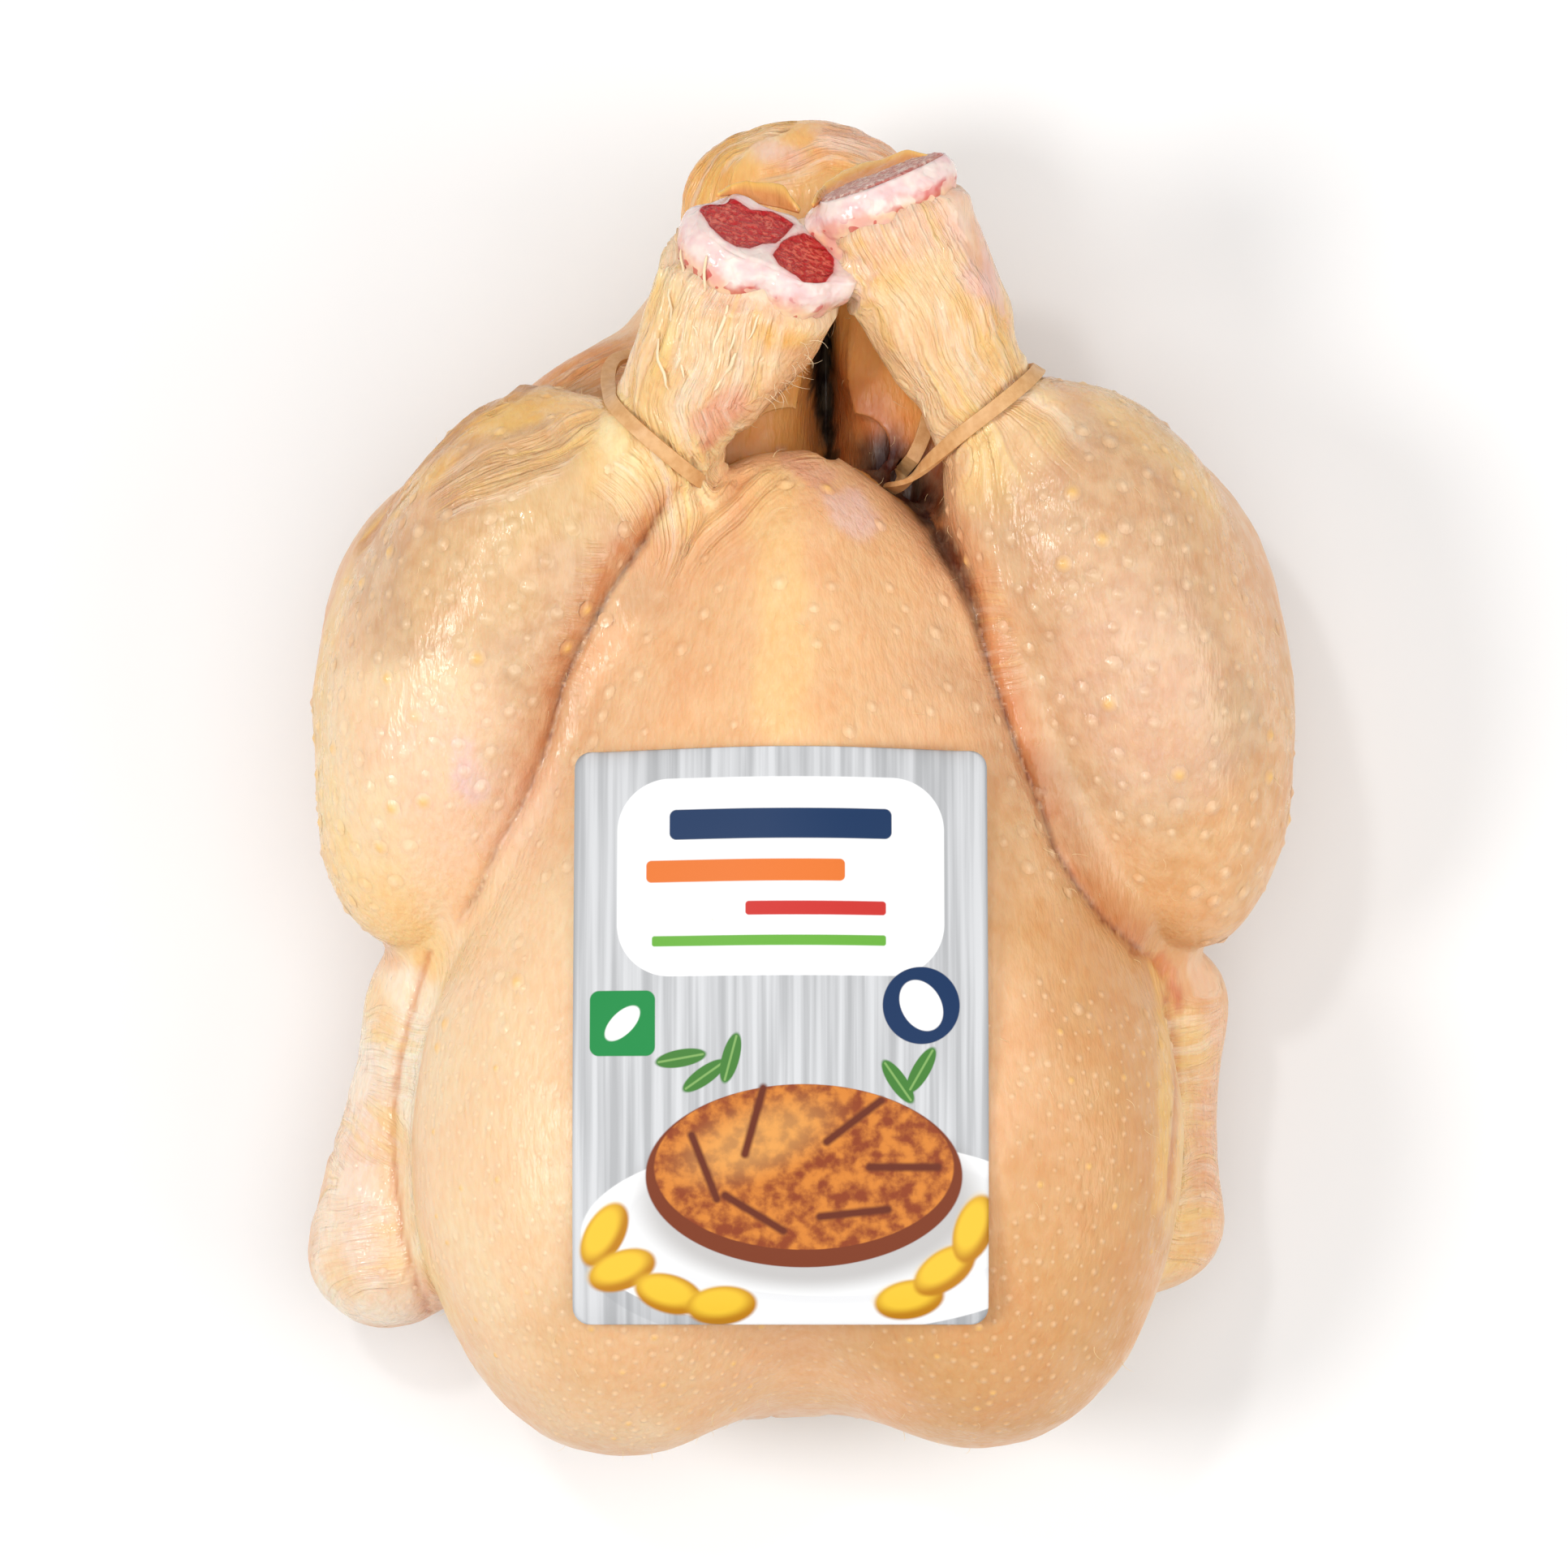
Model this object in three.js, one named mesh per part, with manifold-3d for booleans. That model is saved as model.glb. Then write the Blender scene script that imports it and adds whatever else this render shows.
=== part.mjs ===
// A whole raw chicken, lying on its back with its legs held together by a rubber band.
// Millimetres. +Z is up, out of the breast; +Y runs from the neck end to the tail; +X is to the right
// for someone who looks down on the breast with the legs pointing away. z = 0 is what it lies on.
//
// The carcass is one solid. Its flesh is a set of lobes (long rounded masses), each a function that
// gives the distance from any point to its surface. The lobes are blended with each other, and a net
// of triangles is laid over the place where the blended distance is zero. The flat that it rests on, the
// slit of the vent and the furrow of the rubber band are cut out of that solid afterwards.

import * as THREE from "three";
import { mergeVertices } from "three/addons/utils/BufferGeometryUtils.js";
import Module from "manifold-3d";

const wasm = await Module();
wasm.setup();

const v = (x, y, z) => new THREE.Vector3(x, y, z);

// Driving dimensions
const netCell = { body: 6.1, shanks: 4.6 }; // size of the net's cells, over the body and over the leg ends
const shanksFrom = 50; // y beyond which the finer cells are used
const reach = { x: [-96, 96], y: [-130, 132], z: [-8, 106] }; // the box that holds all the flesh
const gap = 0.45; // space between the skin and what lies on it
const band = { width: 2.6, thickness: 1.0, steps: 150 };
const bandRide = 0.1; // how far the band's middle keeps from the skin, which it presses a furrow into
const label = {
  x: -4.2,
  y: -46.5,
  width: 71,
  length: 98.5,
  thickness: 0.7,
  corner: 3,
  columns: 14,
  rows: 14,
};
const labelFeel = 2.4; // how far round a point of the label the flesh under it is felt for
const tautRounds = { band: 20, facing: 12, label: 300 }; // how often a taut thing is pulled straighter

// How far neighbouring masses melt into each other
const blend = {
  shoulders: 14,
  breast: 15,
  rump: 16,
  tail: 8,
  flaps: 2,
  body: 6,
  crease: 3,
  thigh: 14,
  haunch: 4.5,
  shank: 7,
  legEnd: 6,
  legs: 1,
  wing: 7,
  hollow: 3,
};

// Where each leg bends and ends. The two legs differ a little, as they do on a real bird.
const legs = {
  left: {
    knee: v(-74.5, -27.5, 49),
    drumTop: v(-43.5, 68.5, 65.5),
    drumWidth: 23,
    thighLow: v(-63, -28, 34),
    thighHigh: v(-62.5, 58, 34),
    thighWidth: 25.5,
    thighTaper: 0.08,
    haunchOut: v(-70.5, 32, 34),
    haunchIn: v(-13.5, 82, 34),
    calf: v(-44.5, 41, 65.5),
    neck: v(-25.5, 57, 73),
    shankEnd: v(-6, 91.5, 86.5),
    shankWidth: 14.5,
    cutAt: v(-7, 92.5, 89.5),
    cutFacing: v(0.34, 0.68, 0.66).normalize(),
    cutLong: v(0.894, -0.447, 0).normalize(),
    condyles: [
      { offset: -3.5, radius: 11 },
      { offset: 8, radius: 8.8 },
    ],
  },
  right: {
    knee: v(72.5, -28, 49),
    drumTop: v(43, 69.5, 65.5),
    drumWidth: 25,
    thighLow: v(62.5, -24, 34),
    thighHigh: v(60.5, 64, 34),
    thighWidth: 26,
    thighTaper: -0.02,
    haunchOut: v(74, 30, 34),
    haunchIn: v(18, 72, 34),
    calf: v(47, 43, 65.5),
    neck: v(32, 62.5, 73),
    shankEnd: v(15, 98.5, 84),
    shankWidth: 13,
    cutAt: v(12.8, 103.6, 86.5),
    cutFacing: v(-0.35, 0.91, 0.2).normalize(),
    cutLong: v(0.93, 0.36, 0).normalize(),
    condyles: [
      { offset: -5, radius: 9 },
      { offset: 5, radius: 8.3 },
    ],
  },
};
const drumDepth = 25.5;
const thighDepth = 30;
const calfRadius = 17.5;
const neckRadius = 9.5;
const shankDepth = 12.5;
const condyleLength = 13.5;
const cutReach = 26; // how far round a leg's end its cut is looked for

// Where each wing bends. The upper arm runs back to the elbow, the forearm forward again to the wrist,
// and the tip is tucked under the back.
const wings = {
  left: {
    shoulder: v(-52.5, -78.5, 37.5),
    elbow: v(-64.5, -38.5, 34),
    wrist: v(-74.5, -82, 34),
    tip: v(-41, -52.5, 11.5),
    forearm: [12, 14.5],
  },
  right: {
    shoulder: v(50.5, -78.5, 37.5),
    elbow: v(63, -38.5, 34),
    wrist: v(63.5, -77, 34),
    tip: v(37.5, -52.5, 11.5),
    forearm: [10, 12],
  },
};
const upperArm = [13, 15];
const wingTip = [9.5, 5.5];

// The slit between the belly flaps, and the hollow under the rear edge of the breast
const slit = { at: v(4, 71, 52), half: v(3, 22.5, 24.5) };
const hollow = { from: v(0, 35, 50), to: v(3, 72, 47), halfWidth: 22, halfDepth: 6.5 };

// A long rounded mass from one end to the other. It is widest in the middle, or nearer one end if tapered.
function lobe(from, to, halfWidth, halfDepth, taper = 0) {
  const centre = from.clone().add(to).multiplyScalar(0.5);
  const halfLength = from.distanceTo(to) / 2;
  const along = to.clone().sub(from).normalize();
  const across = along.clone().cross(v(0, 0, 1)).normalize();
  const deep = across.clone().cross(along);
  return (p) => {
    const d = p.clone().sub(centre);
    const run = d.dot(along) / halfLength;
    const swell = 1 + taper * Math.min(1, Math.max(-1, run));
    const width = halfWidth * swell;
    const depth = halfDepth * swell;
    const a = d.dot(across) / width;
    const c = d.dot(deep) / depth;
    const level = Math.hypot(a, run, c);
    const steepness = Math.hypot(a / width, run / halfLength, c / depth);
    return (level * (level - 1)) / Math.max(steepness, 1e-6);
  };
}

// A round limb whose radius changes evenly from one end to the other.
function limb(from, to, radiusFrom, radiusTo) {
  const run = to.clone().sub(from);
  const length2 = run.lengthSq();
  return (p) => {
    const t = Math.min(1, Math.max(0, p.clone().sub(from).dot(run) / length2));
    return p.distanceTo(from.clone().addScaledVector(run, t)) - radiusFrom - t * (radiusTo - radiusFrom);
  };
}

// Joins masses so that they melt into each other over a given width.
function melt(width, ...parts) {
  return (p) =>
    parts
      .map((part) => part(p))
      .reduce((a, b) => {
        const near = Math.max(width - Math.abs(a - b), 0) / width;
        return Math.min(a, b) - (near * near * width) / 4;
      });
}

function breast() {
  const shoulders = melt(
    blend.shoulders,
    lobe(v(-34.5, -118.5, 54), v(-24, -4.5, 54), 40, 38.5),
    lobe(v(32, -117.5, 54), v(22, -4, 54), 39.5, 38.5),
  );
  const middle = lobe(v(-2, -79.5, 56), v(-2, 57.5, 62), 47.5, 34.5, -0.2);
  const keel = lobe(v(-1, -90, 72), v(-2, 52, 68), 15, 23);
  const ribs = lobe(v(0, -106.5, 32.5), v(0, 52, 32.5), 56, 35.5);
  const neckFlap = lobe(v(-31, -93.5, 34.5), v(31, -93.5, 34.5), 15, 25);
  return melt(blend.breast, shoulders, middle, keel, ribs, neckFlap);
}

function rump() {
  const hips = lobe(v(0, -3.5, 28), v(0, 86.5, 28), 52.5, 27);
  const tailRoot = lobe(v(-1, 51, 29.5), v(-1, 106.5, 38), 30, 19.5);
  const tail = lobe(v(-0.5, 86.5, 38), v(0, 120.5, 50), 22.3, 12.5);
  return melt(blend.tail, melt(blend.rump, hips, tailRoot), tail);
}

function bellyFlaps() {
  const left = lobe(v(-17.5, 36.5, 38), v(-9, 80, 42), 16, 16);
  const right = lobe(v(26, 27, 37), v(9.5, 92.5, 43.5), 15, 17.5);
  return melt(blend.flaps, left, right);
}

function leg(side) {
  const drum = lobe(side.knee, side.drumTop, side.drumWidth, drumDepth, 0.1);
  const calf = limb(side.calf, side.neck, calfRadius, neckRadius);
  const thigh = lobe(side.thighLow, side.thighHigh, side.thighWidth, thighDepth, side.thighTaper);
  const haunch = lobe(side.haunchOut, side.haunchIn, 18, 23.5);
  const shank = lobe(side.neck, side.shankEnd, side.shankWidth, shankDepth, 0.1);
  const ends = side.condyles.map(({ offset, radius }) => {
    const outer = side.cutAt.clone().addScaledVector(side.cutLong, offset);
    const inner = outer.clone().addScaledVector(side.cutFacing, -condyleLength);
    return limb(inner, outer, radius * 0.9, radius);
  });
  const upper = melt(blend.haunch, melt(blend.thigh, drum, calf, thigh), haunch);
  const whole = melt(blend.shank, upper, melt(blend.legEnd, shank, ...ends));
  return (p) => {
    const past = p.clone().sub(side.cutAt).dot(side.cutFacing);
    return p.distanceTo(side.cutAt) < cutReach ? Math.max(whole(p), past) : whole(p);
  };
}

function wing(side) {
  const forearm = limb(side.elbow, side.wrist, ...side.forearm);
  const arm = limb(side.elbow, side.shoulder, ...upperArm);
  const folded = side.wrist.clone().add(v(0, 0, -wingTip[0]));
  const tip = limb(folded, side.tip, ...wingTip);
  return melt(blend.wing, forearm, arm, tip);
}

function flesh() {
  const body = melt(blend.body, breast(), melt(blend.body, rump(), bellyFlaps()));
  const bothLegs = melt(blend.legs, leg(legs.left), leg(legs.right));
  const whole = melt(blend.crease, body, wing(wings.left), wing(wings.right), bothLegs);
  const underBreast = lobe(hollow.from, hollow.to, hollow.halfWidth, hollow.halfDepth);
  const air = melt(blend.hollow, (p) => -whole(p), underBreast);
  return (p) => -air(p);
}

// Evenly spaced grid lines from the low end to the high end, with cells of at most the given size.
function gridLines([low, high], size) {
  const count = Math.ceil((high - low) / size);
  return Array.from({ length: count + 1 }, (_, i) => low + ((high - low) * i) / count);
}

// A cube's corners are numbered by bits: 1 is +X, 2 is +Y, 4 is +Z.
// An edge joins corners that differ in one bit.
const cubeEdges = [];
for (let corner = 0; corner < 8; corner++)
  for (const bit of [1, 2, 4]) if (!(corner & bit)) cubeEdges.push([corner, corner | bit]);
const edgeBetween = (a, b) => cubeEdges.findIndex(([p, q]) => p === Math.min(a, b) && q === Math.max(a, b));
const cubeFaces = [];
for (const [s, t, n] of [
  [1, 2, 4],
  [2, 4, 1],
  [4, 1, 2],
])
  for (const base of [0, n]) cubeFaces.push([base, base | s, base | s | t, base | t]);

// The way out of the flesh at a point, and the place on a short stretch where the surface crosses it.
function outward(distance, p) {
  const h = 0.15;
  return v(
    distance(v(p.x + h, p.y, p.z)) - distance(v(p.x - h, p.y, p.z)),
    distance(v(p.x, p.y + h, p.z)) - distance(v(p.x, p.y - h, p.z)),
    distance(v(p.x, p.y, p.z + h)) - distance(v(p.x, p.y, p.z - h)),
  ).normalize();
}
function crossing(distance, from, to, dFrom, dTo) {
  let [low, high] = [0, 1];
  let [dLow, dHigh] = [dFrom, dTo];
  let p = from;
  for (let i = 0; i < 4; i++) {
    const share = low + ((high - low) * dLow) / (dLow - dHigh);
    p = from.clone().lerp(to, Math.min(Math.max(share, low), high));
    const d = distance(p);
    if ((d < 0) === (dLow < 0)) [low, dLow] = [share, d];
    else [high, dHigh] = [share, d];
  }
  return p;
}

// The point that lies best on all the tangent planes at the crossings, so that edges stay sharp.
const pullToMean = 0.08;
function meetingPoint(crossings) {
  const mean = crossings.reduce((sum, c) => sum.add(c.p), v(0, 0, 0)).divideScalar(crossings.length);
  const m = new THREE.Matrix3().multiplyScalar(pullToMean);
  const e = m.elements;
  const rest = v(0, 0, 0);
  for (const { p, n } of crossings) {
    const away = p.clone().sub(mean).dot(n);
    const a = n.toArray();
    for (let i = 0; i < 3; i++) for (let j = 0; j < 3; j++) e[3 * j + i] += a[i] * a[j];
    rest.addScaledVector(n, away);
  }
  return mean.add(rest.applyMatrix3(m.invert()));
}

// Lays a closed net of triangles over the place where the distance is zero. Each cell that the surface
// passes through gets a vertex for each sheet of it there, so that two close sheets never share one.
function net(distance, xs, ys, zs) {
  const [nx, ny, nz] = [xs.length, ys.length, zs.length];
  const at = (i, j, k) => (k * ny + j) * nx + i;
  const field = new Float64Array(nx * ny * nz);
  zs.forEach((z, k) =>
    ys.forEach((y, j) => xs.forEach((x, i) => (field[at(i, j, k)] = distance(v(x, y, z))))),
  );
  const known = new Map(); // a crossed grid edge is shared by four cells
  const crossingOn = (i, j, k, [a, b]) => {
    const ends = [a, b].map((c) => [i + (c & 1), j + ((c >> 1) & 1), k + ((c >> 2) & 1)]);
    const [first, second] = ends.map(([x, y, z]) => at(x, y, z));
    const key = first * 3 + Math.log2(b - a);
    if (!known.has(key)) {
      const [from, to] = ends.map(([x, y, z]) => v(xs[x], ys[y], zs[z]));
      const p = crossing(distance, from, to, field[first], field[second]);
      known.set(key, { p, n: outward(distance, p) });
    }
    return known.get(key);
  };

  const points = [];
  const vertexOf = new Map(); // cell number * 12 + edge number -> vertex
  for (let k = 0; k < nz - 1; k++)
    for (let j = 0; j < ny - 1; j++)
      for (let i = 0; i < nx - 1; i++) {
        const inside = (c) => field[at(i + (c & 1), j + ((c >> 1) & 1), k + ((c >> 2) & 1))] < 0;
        const crossed = cubeEdges.map(([a, b]) => inside(a) !== inside(b));
        if (!crossed.includes(true)) continue;
        const sheet = cubeEdges.map((_, e) => e);
        for (const ring of cubeFaces)
          ring.forEach((c, n) => {
            if (!inside(c)) return;
            // From an inside corner, walk round the face both ways to the edges where the surface is.
            const walk = (step) => {
              let m = n;
              while (inside(ring[(m + step + 4) % 4])) {
                m = (m + step + 4) % 4;
                if (m === n) return -1;
              }
              return edgeBetween(ring[m], ring[(m + step + 4) % 4]);
            };
            const [ahead, back] = [walk(1), walk(-1)];
            if (ahead < 0) return;
            const [from, to] = [sheet[ahead], sheet[back]];
            sheet.forEach((s, e) => s === from && (sheet[e] = to));
          });
        const sheets = new Map();
        cubeEdges.forEach((edge, e) => {
          if (!crossed[e]) return;
          const number = points.length + sheets.size;
          if (!sheets.has(sheet[e])) sheets.set(sheet[e], { number, crossings: [] });
          const one = sheets.get(sheet[e]);
          one.crossings.push(crossingOn(i, j, k, edge));
          vertexOf.set(at(i, j, k) * 12 + e, one.number);
        });
        const [low, high] = [v(xs[i], ys[j], zs[k]), v(xs[i + 1], ys[j + 1], zs[k + 1])];
        for (const one of sheets.values()) points.push(meetingPoint(one.crossings).clamp(low, high));
      }

  // Each crossed grid edge becomes a four-sided face of the vertices in the four cells around it.
  const faces = [];
  const axes = [
    [1, 2, 4],
    [2, 4, 1],
    [4, 1, 2],
  ];
  for (let k = 0; k < nz - 1; k++)
    for (let j = 0; j < ny - 1; j++)
      for (let i = 0; i < nx - 1; i++)
        for (const [along, s, t] of axes) {
          const step = (bits) => at(i + (bits & 1), j + ((bits >> 1) & 1), k + ((bits >> 2) & 1));
          const [low, high] = [field[step(0)] < 0, field[step(along)] < 0];
          if (low === high) continue;
          const around = [0, s, s | t, t].map((bits) => {
            const cell = at(i - (bits & 1), j - ((bits >> 1) & 1), k - ((bits >> 2) & 1));
            return vertexOf.get(cell * 12 + edgeBetween(bits, bits | along));
          });
          if (high) around.reverse();
          const [a, b, c, d] = around;
          const shortWay = points[a].distanceTo(points[c]) <= points[b].distanceTo(points[d]);
          faces.push(...(shortWay ? [a, b, c, a, c, d] : [a, b, d, b, c, d]));
        }
  return { points, faces };
}

function solidFrom(points, faces) {
  const vertProperties = new Float32Array(points.flatMap((p) => [p.x, p.y, p.z]));
  return new wasm.Manifold(new wasm.Mesh({ numProp: 3, vertProperties, triVerts: new Uint32Array(faces) }));
}

function solidOf(geometry) {
  const bare = geometry.clone();
  bare.deleteAttribute("normal");
  bare.deleteAttribute("uv");
  const merged = mergeVertices(bare, 1e-4);
  return new wasm.Manifold(
    new wasm.Mesh({
      numProp: 3,
      vertProperties: new Float32Array(merged.attributes.position.array),
      triVerts: new Uint32Array(merged.index.array),
    }),
  );
}

function geometryOf(solid) {
  const mesh = solid.getMesh();
  const geometry = new THREE.BufferGeometry();
  geometry.setAttribute("position", new THREE.BufferAttribute(new Float32Array(mesh.vertProperties), 3));
  geometry.setIndex(new THREE.BufferAttribute(new Uint32Array(mesh.triVerts), 1));
  geometry.computeVertexNormals();
  return geometry;
}

// A ball stretched to the given half sizes.
function ellipsoid({ at, half }) {
  const ball = new THREE.SphereGeometry(1, 20, 14);
  ball.scale(half.x, half.y, half.z);
  ball.translate(at.x, at.y, at.z);
  return solidOf(ball);
}

// The rubber band's way round both legs: over the left one, under the rear edge of the breast, over the
// right one, and back behind them both.
const bandRoute = [
  v(-33.5, 66, 69),
  v(-27.5, 59.5, 82),
  v(-21.5, 54.5, 80),
  v(-16.5, 50, 70),
  v(-10, 46, 58),
  v(-3, 43.5, 50),
  v(6, 44, 50),
  v(14.5, 49.5, 62),
  v(24, 56.5, 76),
  v(30.5, 61.5, 83),
  v(37, 67.5, 76),
  v(41.5, 72.5, 64),
  v(37, 75, 56),
  v(27, 72, 54),
  v(19, 66, 58),
  v(22.5, 61, 56),
  v(12, 51, 48),
  v(0, 47, 46),
  v(-12, 42, 48),
  v(-21, 38.5, 52),
  v(-26.5, 42, 58.5),
  v(-22.5, 51, 63),
  v(-17.5, 60, 60),
  v(-24, 73, 54),
  v(-33, 80, 53),
  v(-36, 73, 60),
];

// The band's middle line, pulled taut but kept on the skin, and the way that its flat side faces.
function bandLine(distance) {
  const route = new THREE.CatmullRomCurve3(bandRoute, true, "centripetal");
  const line = route.getSpacedPoints(band.steps).slice(1);
  const neighbours = (list, i) => [list.at(i - 1), list[(i + 1) % list.length]];
  for (let round = 0; round < tautRounds.band; round++)
    line.forEach((p, i) => {
      const [before, after] = neighbours(line, i);
      p.lerp(before.clone().add(after).multiplyScalar(0.5), 0.5);
      const short = bandRide - distance(p);
      if (short > 0) p.addScaledVector(outward(distance, p), short);
    });
  const facing = line.map((p) => outward(distance, p));
  for (let round = 0; round < tautRounds.facing; round++)
    facing.forEach((f, i) => {
      const [before, after] = neighbours(facing, i);
      f.add(before).add(after).normalize();
    });
  return line.map((p, i) => ({ p, facing: facing[i] }));
}

// A flat band along a closed line.
function bandSolid(line, width, thickness) {
  const section = [
    [-1, -1],
    [1, -1],
    [1, 1],
    [-1, 1],
  ];
  const count = line.length;
  const points = line.flatMap(({ p, facing }, i) => {
    const forward = line[(i + 1) % count].p.clone().sub(line.at(i - 1).p).normalize();
    const out = facing.clone().addScaledVector(forward, -facing.dot(forward)).normalize();
    const sideways = forward.clone().cross(out);
    return section.map(([s, t]) =>
      p
        .clone()
        .addScaledVector(sideways, (s * width) / 2)
        .addScaledVector(out, (t * thickness) / 2),
    );
  });
  const faces = [];
  const n = section.length;
  for (let i = 0; i < count; i++)
    for (let s = 0; s < n; s++) {
      const here = i * n;
      const next = ((i + 1) % count) * n;
      const [a, b, c, d] = [here + s, here + ((s + 1) % n), next + ((s + 1) % n), next + s];
      faces.push(a, b, c, a, c, d);
    }
  const made = solidFrom(points, faces);
  return made.volume() > 0 ? made : solidFrom(points, faces.reverse());
}

// How high the flesh is above a place, found by stepping down on to it.
function heightOn(distance, x, y) {
  const p = v(x, y, reach.z[1]);
  for (let i = 0; i < 60; i++) p.z -= distance(p) * 0.9;
  return p.z;
}

// A sheet pulled tight over the flesh: where it doesn't touch, it lies midway between its neighbours.
function pullTight(bare) {
  const sheet = bare.map((row) => [...row]);
  const mean = (heights) => heights.reduce((sum, h) => sum + h, 0) / heights.length;
  for (let round = 0; round < tautRounds.label; round++)
    sheet.forEach((row, r) =>
      row.forEach((_, c) => {
        const along = [row[c - 1], row[c + 1]];
        const across = [sheet[r - 1]?.[c], sheet[r + 1]?.[c]];
        const spans = [along, across].filter((pair) => !pair.includes(undefined)).flat();
        if (spans.length) row[c] = Math.max(bare[r][c], mean(spans));
      }),
    );
  return sheet;
}

// A card with round corners that lies tight over the breast. Its rows are shorter in the corners.
function labelSolid(distance) {
  const { x, y, width, length, thickness, corner, columns, rows } = label;
  const edge = [0, 0.13, 0.5, 1].map((t) => t * corner);
  const low = edge.map((t) => -length / 2 + t);
  const high = edge.map((t) => length / 2 - t).reverse();
  const between = Array.from({ length: rows - 1 }, (_, i) => -length / 2 + (length * (i + 1)) / rows);
  const lines = [...low, ...between, ...high];
  const halfWidth = (line) => {
    const into = Math.max(0, Math.abs(line) - (length / 2 - corner));
    return width / 2 - corner + Math.sqrt(Math.max(0, corner * corner - into * into));
  };
  const across = lines.map((line) =>
    Array.from({ length: columns + 1 }, (_, c) => x + halfWidth(line) * ((2 * c) / columns - 1)),
  );
  const around = [-labelFeel, 0, labelFeel];
  const highest = (atX, atY) =>
    Math.max(...around.flatMap((dx) => around.map((dy) => heightOn(distance, atX + dx, atY + dy))));
  const heights = pullTight(lines.map((line, r) => across[r].map((at) => highest(at, y + line))));
  const points = [];
  for (const lift of [gap, gap + thickness])
    lines.forEach((line, r) => {
      across[r].forEach((at, c) => points.push(v(at, y + line, heights[r][c] + lift)));
    });
  const wide = columns + 1;
  const tall = lines.length;
  const top = wide * tall;
  const faces = [];
  for (let r = 0; r < tall - 1; r++)
    for (let c = 0; c < columns; c++) {
      const a = r * wide + c;
      const [b, d, e] = [a + 1, a + wide, a + wide + 1];
      faces.push(a, e, b, a, d, e, top + a, top + b, top + e, top + a, top + e, top + d);
    }
  const rim = [];
  for (let c = 0; c < columns; c++) rim.push(c);
  for (let r = 0; r < tall - 1; r++) rim.push(r * wide + columns);
  for (let c = columns; c > 0; c--) rim.push((tall - 1) * wide + c);
  for (let r = tall - 1; r > 0; r--) rim.push(r * wide);
  rim.forEach((a, n) => {
    const b = rim[(n + 1) % rim.length];
    faces.push(a, b, top + b, a, top + b, top + a);
  });
  return solidFrom(points, faces);
}

function carcassSolid(distance, line) {
  const xs = gridLines(reach.x, netCell.body);
  const zs = gridLines(reach.z, netCell.body);
  const ys = [
    ...gridLines([reach.y[0], shanksFrom], netCell.body).slice(0, -1),
    ...gridLines([shanksFrom, reach.y[1]], netCell.shanks),
  ];
  const { points, faces } = net(distance, xs, ys, zs);
  const floor = new THREE.BoxGeometry(400, 400, 40);
  floor.translate(0, 0, -20);
  const cuts = [
    solidOf(floor),
    ellipsoid(slit),
    bandSolid(line, band.width + 2 * gap, band.thickness + 2 * gap),
  ];
  const whole = cuts.reduce((rest, cut) => rest.subtract(cut), solidFrom(points, faces));
  return whole.decompose().reduce((a, b) => (b.volume() > a.volume() ? b : a));
}

const materials = {
  skin: new THREE.MeshStandardMaterial({ color: 0xeec49a, roughness: 0.42, metalness: 0 }),
  rubber: new THREE.MeshStandardMaterial({ color: 0xe8cfa8, roughness: 0.6, metalness: 0 }),
  card: new THREE.MeshStandardMaterial({ color: 0xdedfe0, roughness: 0.45, metalness: 0 }),
};

function piece(name, solid, material) {
  const mesh = new THREE.Mesh(geometryOf(solid), material);
  mesh.name = name;
  return mesh;
}

const fleshDistance = flesh();
const line = bandLine(fleshDistance);
const chicken = new THREE.Group();
chicken.add(piece("carcass", carcassSolid(fleshDistance, line), materials.skin));
chicken.add(piece("rubber_band", bandSolid(line, band.width, band.thickness), materials.rubber));
chicken.add(piece("label", labelSolid(fleshDistance), materials.card));

// The origin is under the middle of the whole.
const box = new THREE.Box3().setFromObject(chicken);
const middle = box.getCenter(v(0, 0, 0));
chicken.position.set(-middle.x, -middle.y, -box.min.z);

export default chicken;
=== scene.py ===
# %% [markdown]
# # A whole raw chicken, oven-ready
# The bird lies on its back. A rubber band holds its legs together, and a printed card lies on its
# breast. Raw skin is thin, moist and a little see-through, so most of the work is in three things:
# a fine closed mesh, colours that change slowly over the bird, and a skin shader that lets light in.
#
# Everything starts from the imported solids. They say where each piece is and how large, in metres.

# %% Load the frame
import math

import bmesh
import bpy
import numpy as np
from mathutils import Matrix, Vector
from mathutils.bvhtree import BVHTree


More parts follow.
